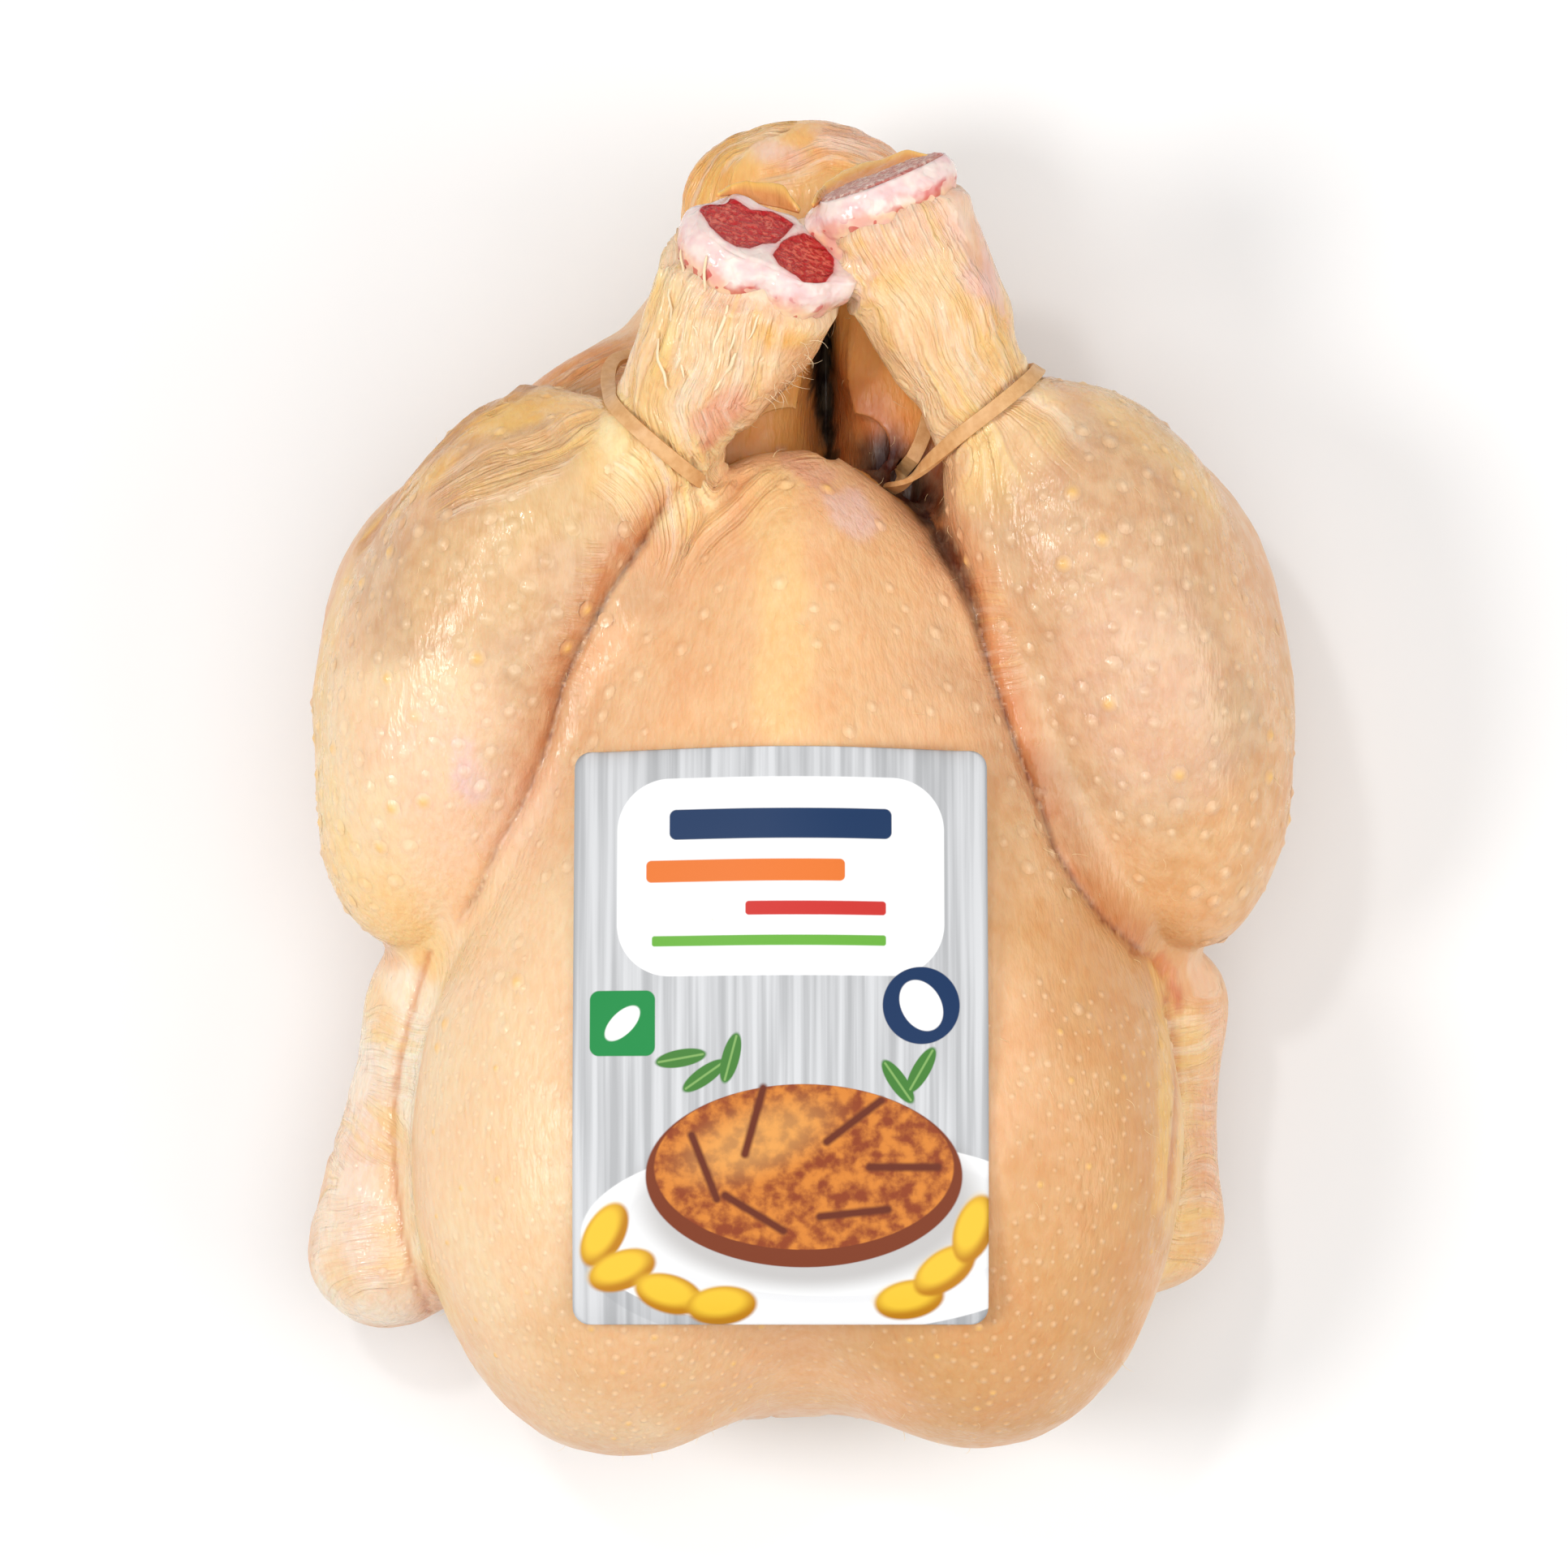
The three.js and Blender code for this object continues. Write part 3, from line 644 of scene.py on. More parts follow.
# %% Build the caps
def hock_cap(name, hock):
    cut, facing, long, other = hock_axes(hock)
    middle = np.mean([at for at, _ in hock["bones"]])
    angles = np.arange(CAP_SPOKES) * 2 * math.pi / CAP_SPOKES
    depths = np.linspace(0, CAP_DEPTH, CAP_STEPS)
    radii = np.array([[cap_radius(hock, a, d) for d in depths] for a in angles])
    radii = blurred(radii, 3)
    rim = radii[:, 0]
    rows = []
    share_out = [0.0]
    for ring in range(CAP_RINGS):
        share = (ring + 1) / CAP_RINGS
        share_out += [share] * CAP_SPOKES
        rows.append((rim * share * RIM_SHARE, np.zeros(CAP_SPOKES)))
    for step in range(CAP_STEPS):
        depth = depths[step] + 0.5
        swell = CAP_SWELL * math.sin(min(depth / 6, 1) * math.pi)
        sink = CAP_SINK * smooth(depth, hock["edge"] - 2, hock["edge"] + 3)
        rows.append((radii[:, step] + swell - sink, np.full(CAP_SPOKES, depth)))
    places = [[0.0, 0.0, 0.0]]
    for radius, depth in rows:
        u = radius * np.cos(angles)
        w = radius * np.sin(angles)
        places += np.stack([u, w, depth], axis=1).tolist()
    places.append([0.0, 0.0, CAP_DEPTH + 0.5])
    places = np.array(places)
    share_out = np.array(share_out + [0.0] * (len(places) - len(share_out)))
    u = places[:, 0] + middle
    w = places[:, 1]
    depth = places[:, 2]
    ovals = [[on_cut(hock, *pixel) for pixel in oval] for oval in hock["ovals"]]
    marrow = np.min([outline_distance(u, w, oval) for oval in ovals], axis=0)
    flat_side = depth < 0.01
    marrow = np.where(flat_side, marrow, np.maximum(marrow, 0.5 + depth))
    spot = cut + np.outer(u, long) * MM + np.outer(w, other) * MM - np.outer(depth, facing) * MM
    grit = np.abs(ripple(spot, 0.9 * MM, 21)) + 0.5 * np.abs(ripple(spot, 0.45 * MM, 22))
    inside = smooth(marrow, 0.2, -0.7)
    uneven = ripple(spot, 6 * MM, 23) * 0.22 + ripple(spot, 2 * MM, 24) * 0.05
    height = inside * (-hock["sunk"] - 0.22 * grit) + uneven
    height -= 0.5 * smooth(share_out, 0.9, 1.0) ** 2
    spot += np.outer(height * flat_side, facing) * MM
    away = long[None] * (places[:, :1] / (np.hypot(places[:, 0], w)[:, None] + 1e-6))
    away = away + other[None] * (w[:, None] / (np.hypot(places[:, 0], w)[:, None] + 1e-6))
    knobs = np.abs(ripple(spot, 3.2 * MM, 25)) * 0.6 + ripple(spot, 1.4 * MM, 26) * 0.15 - 0.3
    knobs *= smooth(depth, 4.0, 7.5)
    spot += away * ((knobs + uneven * 0.4) * ~flat_side)[:, None] * MM
    mesh = new_mesh(name, spot, cap_faces(CAP_SPOKES, len(rows)))
    keep_numbers(mesh, "marrow", marrow)
    keep_numbers(mesh, "depth", depth)
    return shade_smooth(new_object(name, mesh))


caps = {side: hock_cap("hock_" + side, hock) for side, hock in HOCKS.items()}
print("hock caps:", [len(cap.data.polygons) for cap in caps.values()], "faces each")

# %% Tuck the skin under the leg ends
tucked = np.zeros(len(skin_at))
skin_edge = np.full(len(skin_at), 99.0)
for side, hock in HOCKS.items():
    cut, facing, long, other = hock_axes(hock)
    middle = np.mean([at for at, _ in hock["bones"]])
    off = (skin_at - cut) / MM
    depth = -(off @ facing)
    u = off @ long
    w = off @ other
    radial = oval_distance(u, w, hock["bones"])
    angle = np.arctan2(w, u - middle)
    ragged = np.stack([np.cos(angle), np.sin(angle), depth * 0.03], axis=1)
    edge = hock["edge"] + 2.4 * ripple(ragged, 0.5, 31) + 1.2 * ripple(ragged, 0.2, 32)
    own = (radial < 3.5) & (depth > -3) & (depth < 22)
    under = own * smooth(depth, edge + 0.7, edge - 0.7)
    tucked = np.maximum(tucked, under)
    skin_edge = np.where(own, np.minimum(skin_edge, depth - edge), skin_edge)
thick_rim = 0.45 * smooth(skin_edge, 0.0, 1.0) * smooth(skin_edge, 6.0, 2.0)
lift = lift * (1 - tucked) + thick_rim * MM
skin_at = skin_at + skin_out * (lift * on_floor - tucked * TUCK * MM)[:, None]
skin_at[:, 2] = np.maximum(skin_at[:, 2], 0)

# The shanks touch, and the right one's skin would lie over the left one's bone.
cut, facing, _, _ = hock_axes(HOCKS["left"])
px, py = to_pixels(skin_at)
beside_bone = outline_distance(px, py, HOCKS["left"]["ovals"][1]) * PIXEL
way = skin_at - np.array(camera.location)
height = (skin_at - cut) @ facing + TUCK * MM
over = smooth(beside_bone, 1.4, 0.5) * (height > 0) * (height < 14 * MM)
skin_at -= way * (height / (way @ facing) * over)[:, None]
move_to(skin.data, skin_at)
skin_out = directions(skin.data)

# %% [markdown]
# ## The seams of the legs
# The leg bulges over its seam, and the seam itself is a narrow cut. The line between each wing and
# the breast is a shallower groove. The belly flaps beside the slit are thin and limp, so they are
# raised to one soft surface with evened-out edges.

# %% Where the flaps and the wing lines are
SEAM_DEPTH = 1.9
SEAM_HALF_WIDTH = 0.9
GAPE = 1.3
LEG_BULGE = 0.9
FLAP_ROUNDS = 60
FLAP_TOP = 57.0
FLAP_RAISED = 0.85
RAISED = ((-26, -18, 15, 23), (45, 50, 92, 104), (35, 41, 56.9, 58))
LIMP = ((-26, -18, 28, 36), (44, 52, 96, 104), (24, 34, 54, 61))
WING_SEAMS = [
    [
        (528, 1175), (510, 1233), (493, 1299), (486, 1349), (483, 1407), (487, 1465), (495, 1523),
        (510, 1577), (528, 1618), (536, 1647),
    ],
    [
        (1396, 1174), (1418, 1177), (1431, 1196), (1439, 1214), (1439, 1248), (1446, 1270), (1451, 1307),
        (1452, 1344), (1449, 1399), (1444, 1436), (1443, 1480),
    ],
]
WING_DEPTH = 0.5
WING_HALF_WIDTH = 1.1


def in_block(block):
    """How far inside a block each vertex is. The block gives four limits in mm along each axis."""
    return np.prod([between(at, *limits) for at, limits in zip(skin_at.T / MM, block)], axis=0)


# %% Raise the flaps and cut the seams
beside_slit = smooth(np.abs(skin_at[:, 0] / MM - SLIT_X), 2.2, 3.6)
raised = in_block(RAISED) * beside_slit * FLAP_RAISED
skin_at[:, 2] += (FLAP_TOP * MM - skin_at[:, 2]) * raised
limp = in_block(LIMP)
skin_at = skin_at + (spread(skin.data, skin_at, FLAP_ROUNDS) - skin_at) * limp[:, None]
seam_away, seam_along, seam_above, seam_right = seam_places()
open_ends = np.where(seam_right, 1.0, smooth(seam_along, 0.0, 0.06)) * seam_above
open_ends *= smooth(seam_along, 1.0, 0.94)
gaping = 1 + GAPE * smooth(seam_along, 0.3, 0.0) * seam_right
cut_in = np.exp(-((seam_away / SEAM_HALF_WIDTH / gaping) ** 2)) * SEAM_DEPTH * gaping
bulge = smooth(seam_away, 0.5, 3.0) * smooth(seam_away, 9.0, 4.0) * LEG_BULGE
skin_at[:, 2] += (bulge - cut_in) * open_ends * MM
px, py = to_pixels(skin_at)
wing_away = np.min([np.abs(beside_line(px, py, line)[0]) for line in WING_SEAMS], axis=0) * PIXEL
wing_line = smooth(wing_away, WING_HALF_WIDTH, 0.0) * smooth(skin_out[:, 2], 0.0, 0.3)
skin_at -= skin_out * (wing_line * WING_DEPTH * MM)[:, None]
move_to(skin.data, skin_at)
skin_out = directions(skin.data)
print("seam cut", round((cut_in * open_ends).max(), 2), "mm deep")

# %% [markdown]
# ## The skin's colours
# A raw chicken isn't one colour. Its legs are greyish beige where dark meat shows through, its fat is
# yellow, the breast is peach, and the thin belly flaps let the light come through deep orange; that
# orange is partly their own colour and partly painted light. Each stroke below lays one colour over a
# place with a soft, slightly wandering edge. The deepest strokes and patches are painted shade in the
# pit beside the right leg and in the slit, and hollows, creases and seams get painted shade after them.

# %% Colours
PEACH = tone(238, 193, 148)
# Painted shade for wide hollows.
HOLLOW_SHADE = tone(240, 196, 150)
# Painted shade for narrow creases.
CREASE_SHADE = tone(214, 140, 84)
SEAM_SHADE = tone(206, 122, 62)
# Painted shade: the deep brown line right on each leg seam.
SEAM_SHADE_LINE = tone(128, 56, 22)
# Painted shade for the gaping end of the right seam.
GAP_SHADE = tone(84, 26, 8)
# Painted shade along the groove between each wing and the breast.
WING_LINE_SHADE = tone(220, 150, 96)
TORN_RIM = tone(250, 220, 198)
COLOURS = {
    "cream": (250, 222, 182),
    "straw": (255, 236, 188),
    "wing": (255, 244, 222),
    "grey_beige": (210, 172, 134),
    "olive_beige": (226, 192, 138),
    "rose": (246, 207, 188),
    "lilac": (240, 206, 200),
    "yellow": (250, 216, 148),
    "fat": (246, 200, 108),
    "orange": (255, 186, 102),
    "amber": (226, 150, 84),
    # Painted shade where the flaps fall away into the pit.
    "brown_shade": (196, 112, 62),
    # Painted shade for deep pits.
    "dark": (62, 14, 3),
    # Painted shade for the deep slit.
    "slit_shade": (30, 6, 4),
    "breast": (240, 192, 142),
    "tan": (220, 168, 112),
    "pale": (255, 236, 204),
    "blood": (206, 60, 50),
    "flesh": (230, 176, 142),
    "pink": (240, 178, 150),
}
COLOURS = {name: tone(*shade) for name, shade in COLOURS.items()}
# %% Strokes of colour
STROKES = [
    # colour, strength, full within mm, gone beyond mm, path, and the highest place in mm for some
    ("cream", 0.7, 20, 60, [(20, -90, 10), (0, -20, 5), (0, 60, 8)]),
    ("rose", 0.5, 8, 30, [(-40, -40, 8), (40, -40, 8)]),
    ("breast", 0.9, 14, 34, [(960, 640), (960, 760), (960, 880)]),
    ("cream", 0.8, 14, 40, [(590, 1230), (570, 1350), (590, 1500)]),
    ("cream", 0.5, 8, 34, [(640, 1600), (760, 1700)]),
    ("yellow", 0.6, 3, 12, [(520, 1240), (500, 1350), (500, 1460), (540, 1600)]),
    ("tan", 1.0, 12, 34, [(1380, 1200), (1400, 1400), (1340, 1560), (1200, 1680)]),
    ("tan", 0.45, 8, 24, [(760, 1650), (960, 1680), (1180, 1680)]),
    ("tan", 0.5, 5, 20, [(1230, 1000), (1300, 1150)]),
    ("breast", 0.8, 4, 16, [(900, 1725), (960, 1715), (1060, 1725)]),
    ("yellow", 0.5, 2.5, 6.5, [(950, 590), (955, 660), (962, 760), (963, 880)]),
    ("grey_beige", 0.9, 16, 34, [(640, 640), (570, 760), (520, 860)]),
    ("olive_beige", 0.75, 6, 15, [(640, 590), (680, 600)]),
    ("olive_beige", 0.5, 5, 14, [(600, 700), (560, 720)]),
    ("cream", 0.9, 14, 30, [(470, 940), (500, 1060)]),
    ("rose", 0.45, 5, 18, [(540, 930), (600, 990)]),
    ("yellow", 0.7, 4, 12, [(398, 720), (384, 860), (400, 1000), (450, 1110), (520, 1165)]),
    ("yellow", 0.7, 4, 12, [(740, 500), (780, 560), (830, 600)]),
    ("tan", 0.8, 6, 14, [(742, 415), (680, 440), (600, 500), (520, 575), (450, 640)]),
    ("fat", 0.7, 2.5, 7, [(590, 520), (630, 510), (680, 485)]),
    ("fat", 0.5, 2, 6, [(540, 575), (490, 620)]),
    ("amber", 0.6, 3, 9, [(690, 455), (735, 440)]),
    ("grey_beige", 0.9, 15, 34, [(1340, 620), (1380, 760), (1400, 880)]),
    ("rose", 0.3, 6, 20, [(1400, 820), (1420, 900)]),
    ("tan", 0.6, 5, 16, [(1500, 640), (1570, 760), (1588, 880), (1540, 1050), (1450, 1150)]),
    ("yellow", 0.5, 3, 10, [(1290, 450), (1400, 520), (1480, 600)]),
    ("wing", 1.0, 9, 16, [(430, 1250), (410, 1400), (430, 1590)]),
    ("lilac", 0.3, 3, 10, [(450, 1330), (460, 1450), (455, 1530)]),
    ("fat", 0.35, 1.5, 6, [(480, 1380), (500, 1500), (490, 1560)]),
    ("fat", 0.45, 1.5, 6, [(455, 1235), (470, 1260)]),
    ("fat", 0.4, 1.5, 5, [(410, 1560), (430, 1590)]),
    ("rose", 0.2, 4, 14, [(400, 1480), (440, 1600), (490, 1620)]),
    ("pink", 0.2, 3, 10, [(1490, 1300), (1485, 1400), (1470, 1540)]),
    ("yellow", 0.7, 5, 14, [(1450, 1300), (1455, 1440), (1450, 1540)]),
    ("blood", 0.6, 0.6, 2.6, [(1427, 1184), (1442, 1206), (1451, 1238)]),
    ("fat", 0.6, 1.5, 5, [(1424, 1200), (1432, 1270), (1436, 1344), (1434, 1410), (1430, 1470)]),
    ("yellow", 0.8, 12, 26, [(900, 190), (980, 160), (1070, 190)]),
    ("orange", 0.6, 6, 16, [(860, 220), (900, 160), (1000, 142), (1090, 165)]),
    ("pink", 0.5, 3, 9, [(1040, 165), (1090, 180)]),
    ("pale", 0.6, 2, 6, [(915, 160), (935, 175)]),
    ("fat", 0.6, 3, 9, [(860, 200), (880, 170)]),
    ("straw", 0.9, 10, 17, [(860, 320), (840, 420), (830, 500), (830, 545)]),
    ("yellow", 0.8, 5, 12, [(790, 400), (800, 470), (820, 540)]),
    ("cream", 0.8, 5, 12, [(900, 380), (895, 440), (880, 500)]),
    ("fat", 0.9, 1.8, 4.5, [(960, 405), (985, 398), (1003, 388)]),
    ("pink", 0.85, 2, 5.5, [(880, 520), (900, 505)]),
    ("blood", 0.5, 0.8, 2.4, [(872, 547)]),
    ("straw", 0.6, 12, 22, [(1080, 320), (1130, 390), (1190, 470)]),
    ("fat", 0.55, 2, 6, [(1040, 310), (1080, 330), (1110, 300)]),
    ("fat", 0.5, 2, 6, [(1200, 380), (1225, 420), (1240, 450)]),
    ("lilac", 0.8, 2.5, 7, [(1195, 270), (1210, 330), (1230, 380)]),
    ("rose", 0.6, 3, 9, [(1090, 290), (1150, 270)]),
    # The flaps' orange is partly their own colour and partly painted light that comes through the thin
    # flesh.
    ("orange", 1.0, 16, 24, [(-12, 60, 43), (0, 66, 50)], 63),
    ("orange", 1.0, 16, 26, [(6, 84, 45), (10, 74, 50), (14, 62, 50)], 62),
    # Painted shade: the next two strokes darken the pit beside the right leg and the deep end of the right
    # seam.
    ("dark", 1.0, 8, 15, [(23, 49, 50), (27, 42, 56)], 64),
    ("dark", 0.9, 1.5, 3.5, [(1200, 760), (1225, 860)], 71),
]


# %% Patches of colour
def blended(colour, other, share):
    return colour * (1 - share[:, None]) + np.array(other) * share[:, None]


PATCHES = [
    # colour, strength, soft mm, outline in pixels
    ("flesh", 0.9, 0.7, [(955, 550), (976, 558), (1007, 568), (1030, 581), (1021, 600), (1007, 607),
                         (992, 594), (976, 584), (964, 570)]),
    ("lilac", 0.75, 1.2, [(1012, 608), (1059, 602), (1085, 642), (1074, 668), (1046, 662), (1026, 640)]),
    ("lilac", 0.8, 1.2, [(560, 900), (578, 912), (598, 950), (600, 985), (584, 990), (556, 968)]),
    ("lilac", 0.7, 1.0, [(1183, 268), (1205, 276), (1226, 330), (1232, 372), (1214, 378), (1192, 330)]),
    ("fat", 0.8, 0.8, [(1208, 366), (1226, 372), (1240, 396), (1246, 430), (1226, 424), (1212, 396)]),
    ("lilac", 0.8, 0.8, [(1050, 352), (1066, 350), (1074, 366), (1060, 376), (1048, 366)]),
    ("fat", 0.85, 0.8, [(948, 398), (975, 392), (1003, 384), (1001, 398), (975, 408), (952, 406)]),
    ("fat", 0.6, 0.8, [(1016, 290), (1042, 288), (1066, 300), (1050, 312), (1024, 306)]),
    ("lilac", 0.6, 1.2, [(918, 176), (948, 170), (985, 182), (1003, 200), (980, 212), (940, 200)]),
    ("rose", 0.6, 1.2, [(1000, 160), (1060, 160), (1096, 178), (1070, 188), (1020, 184)]),
    ("fat", 0.4, 1.2, [(1196, 240), (1210, 300), (1206, 350), (1190, 300), (1184, 250)]),
]
PATCH_LOWEST = 40 * MM
# Painted shade: the right flap darkens into the pit, the slit's edges are darkened, and the pit and the
# slit itself get the deepest shade.
FLAP_SHADE_PATCHES = [
    ("brown_shade", 0.9, 5.0, [(1040, 470), (1090, 480), (1150, 560), (1190, 640), (1212, 800), (1180, 730),
                         (1140, 670), (1085, 612), (1040, 585)]),
    ("dark", 1.0, 3.0, [(1052, 545), (1100, 530), (1150, 590), (1195, 660), (1212, 800), (1180, 730),
                        (1140, 670), (1085, 612), (1056, 590)]),
    ("brown_shade", 0.8, 2.5, [(1000, 500), (1020, 440), (1036, 440), (1044, 575), (1012, 578)]),
    ("slit_shade", 1.0, 0.6, [(998, 430), (1012, 362), (1026, 352), (1026, 400), (1024, 460), (1028, 510),
                         (1034, 575), (1019, 575), (1009, 523), (1001, 487)]),
]
FLAP_HEIGHTS = (24 * MM, 60 * MM)
FLAPS_BEHIND = 30 * MM


def patched(colour, patches, seen):
    """Lays patches with crisp, wandering edges over the vertices given."""
    px, py = to_pixels(skin_at)
    for number, (name, strength, soft, outline) in enumerate(patches):
        away = outline_distance(px[seen], py[seen], outline) * PIXEL
        away += ripple(skin_at[seen], 2.5 * MM, 90 + number) * 0.8
        colour[seen] = blended(colour[seen], COLOURS[name], smooth(away, soft, -soft) * strength)
    return colour


def painted():
    colour = np.tile(PEACH, (len(skin_at), 1))
    for number, (name, strength, full, gone, path, *highest) in enumerate(STROKES):
        wander = 0.3 * gone
        near, distance, _, _ = along_path(path, (gone + wander) * MM)
        edge = distance / MM + ripple(skin_at[near], (3 + 0.35 * gone) * MM, 40 + number) * wander
        share = smooth(edge, gone, full) * strength
        if highest:
            share *= smooth(skin_at[near, 2] / MM, highest[0] + 3, highest[0] - 3)
        colour[near] = blended(colour[near], COLOURS[name], share)
    return colour


# %% Where the skin is seen from above, and the flaps
from_above = np.flatnonzero((skin_at[:, 2] > PATCH_LOWEST) & (skin_out[:, 2] > 0.05))
lowest, highest = FLAP_HEIGHTS
in_flaps = (skin_at[:, 2] > lowest) & (skin_at[:, 2] < highest) & (skin_at[:, 1] > FLAPS_BEHIND)
in_flaps = np.flatnonzero(in_flaps)

# %% Paint the skin
colour = patched(painted(), PATCHES, from_above)
# Painted shade over the belly flaps.
colour = patched(colour, FLAP_SHADE_PATCHES, in_flaps)
off_neck = smooth(skin_at[:, 1] / MM, -95, -70) * (1 - by_seam) * (1 - limp)
# Painted shade: wide hollows and narrow creases are darkened, but not towards the neck, by the leg seams or
# on the limp flaps.
colour = blended(colour, colour * HOLLOW_SHADE, smooth(hollow_wide, 0.8, 3.4) * 0.5 * off_neck)
colour = blended(colour, colour * CREASE_SHADE, smooth(hollow_near, 0.3, 0.9) * 0.6 * off_neck)

# The leg keeps the seam in shade, and little of it falls on the breast.
shadow = smooth(seam_away, 9.0, 0.2) ** 1.5 * (seam_away > 0)
shadow += 0.35 * smooth(seam_away, -1.6, 0.0) * (seam_away < 0)
shadow *= np.where(seam_right, 1.0, smooth(seam_along, 0.75, 0.25) * 0.6 + 0.4) * seam_above
shadow *= smooth(seam_along, 1.0, 0.93)
colour = blended(colour, SEAM_SHADE, shadow * 0.7)
# Painted shade: a deep brown line right on the seam, where the leg shades it most.
colour = blended(colour, SEAM_SHADE_LINE, smooth(np.abs(seam_away), 1.3, 0.0) * shadow * 0.75)
# Painted shade: the gaping end of the right seam is painted the deepest red-brown.
gap_shade_share = smooth(np.abs(seam_away) / gaping, 1.1, 0.5) * (gaping - 1) / GAPE * seam_above
colour = blended(colour, GAP_SHADE, gap_shade_share * 0.9)
# Painted shade along the groove between each wing and the breast.
colour = blended(colour, colour * WING_LINE_SHADE, wing_line * 0.6)
colour = blended(colour, TORN_RIM, smooth(skin_edge, 3.5, 0.0) * 0.6)
keep_colours(skin.data, colour)
print("painted", len(STROKES), "strokes")

# %% Where the skin is goose-fleshed, grainy, hairy, frayed or wet
SPOTS = {
    # strength, full within mm, gone beyond mm, path
    "goose": (
        (1.0, 26, 44, [(640, 640), (560, 760), (500, 880), (510, 1030)]),
        (0.9, 24, 42, [(1330, 600), (1400, 760), (1450, 900), (1440, 1060)]),
        (0.3, 18, 30, [(900, 700), (900, 860)]),
        (0.3, 18, 30, [(1080, 760), (1120, 860)]),
    ),
    "grain": (
        (1.0, 14, 34, [(540, 1300), (560, 1500), (640, 1680), (800, 1740)]),
        (1.0, 14, 34, [(1400, 1300), (1390, 1500), (1280, 1680), (1120, 1740)]),
        (0.5, 10, 26, [(430, 1300), (440, 1560)]),
        (0.5, 10, 26, [(1480, 1300), (1470, 1500)]),
        (0.4, 10, 30, [(880, 160), (1050, 180)]),
    ),
    "hair": (
        (1.0, 30, 45, [(640, 640), (560, 760), (500, 880)]),
        (0.8, 30, 45, [(1330, 600), (1400, 760), (1450, 900)]),
        (0.6, 30, 45, [(900, 640), (1000, 900)]),
        (0.5, 30, 45, [(560, 1400), (800, 1700), (1100, 1700), (1380, 1400)]),
        (1.0, 10, 16, [(1060, 430), (1090, 500)]),
    ),
    "fray": (
        (1.0, 1.6, 2.6, [(992, 419), (988, 441), (976, 466), (955, 480)]),
        (0.6, 1.6, 2.6, [(4.5, 62, 52), (4.5, 74, 54), (4.5, 84, 50)]),
    ),
    "wet": (
        (1.0, 10, 22, [(930, 300), (1100, 260), (1180, 290)]),
        (0.8, 14, 26, [(800, 420), (880, 450)]),
        (0.8, 14, 26, [(1120, 380), (1220, 420)]),
        (0.8, 10, 24, [(930, 170), (1060, 180)]),
        (0.9, 6, 16, [(690, 630), (700, 760)]),
        (0.7, 6, 16, [(1230, 680), (1250, 800)]),
        (0.6, 3, 8, [(1000, 590), (1060, 650)]),
        (0.9, 4, 13, [(495, 925), (520, 1000)]),
        (0.5, 20, 38, [(560, 740), (500, 880), (520, 1010)]),
        (0.55, 22, 40, [(1330, 600), (1400, 760), (1420, 900)]),
        (0.9, 3, 10, [(1298, 895), (1342, 876)]),
        (0.9, 3, 10, [(1397, 760), (1408, 812)]),
        (0.8, 3, 9, [(1330, 950)]),
        (0.9, 6, 14, [(470, 1240), (450, 1480), (470, 1600)]),
        (0.7, 6, 14, [(1480, 1300), (1470, 1500)]),
    ),
}
HAIR_LEAN = np.array([0.25, -1.0, -0.2])


# %% Keep them on the mesh
def mask(*spots):
    """How strongly a finish holds at each vertex. Each spot is strength, full mm, gone mm, path."""
    found = np.zeros(len(skin_at))
    for strength, full, gone, path in spots:
        near, distance, _, _ = along_path(path, gone * MM)
        found[near] = np.maximum(found[near], smooth(distance / MM, gone, full) * strength)
    return found


flat_here = smooth(hollow_near, 0.16, 0.06) * (1 - fold_share) * smooth(skin_at[:, 2] / MM, 6, 14)
flat_here *= 1 - by_seam * smooth(seam_along, 0.7, 0.85)
upwards = smooth(skin_out[:, 2], 0.1, 0.5)
only_where = {"goose": flat_here, "grain": flat_here * upwards}
for name, spots in SPOTS.items():
    keep_numbers(skin.data, name, mask(*spots) * only_where.get(name, 1.0))
keep_vectors(skin.data, "lean", HAIR_LEAN - (skin_out @ HAIR_LEAN)[:, None] * skin_out)
print("kept:", ", ".join(SPOTS))

# %% [markdown]
# ## Materials
# Each material is a small net of shader nodes. One helper adds a node and fills its inputs, with a
# plain value or with another node's output, so that a recipe reads from top to bottom. Geometry
# Nodes are built further down with the same helper.


# %% Node helpers
def feed(tree, socket, value):
    if isinstance(value, bpy.types.NodeSocket):
        tree.links.new(value, socket)
    elif hasattr(value, "__len__") and len(value) == 3 and socket.type == "RGBA":
        socket.default_value = (*value, 1)
    else:
        socket.default_value = value


def add_node(tree, kind, output, settings, inputs):
    """Adds a node. Inputs are named with _ for a space, or i0, i1 and so on for their number."""
    node = tree.nodes.new(kind)
    for key, value in (settings or {}).items():
        setattr(node, key, value)
    for key, value in inputs.items():
        number = key[1:].isdigit() and key[0] == "i"
        socket = node.inputs[int(key[1:])] if number else node.inputs[key.replace("_", " ")]
        feed(tree, socket, value)
    return node.outputs[output]


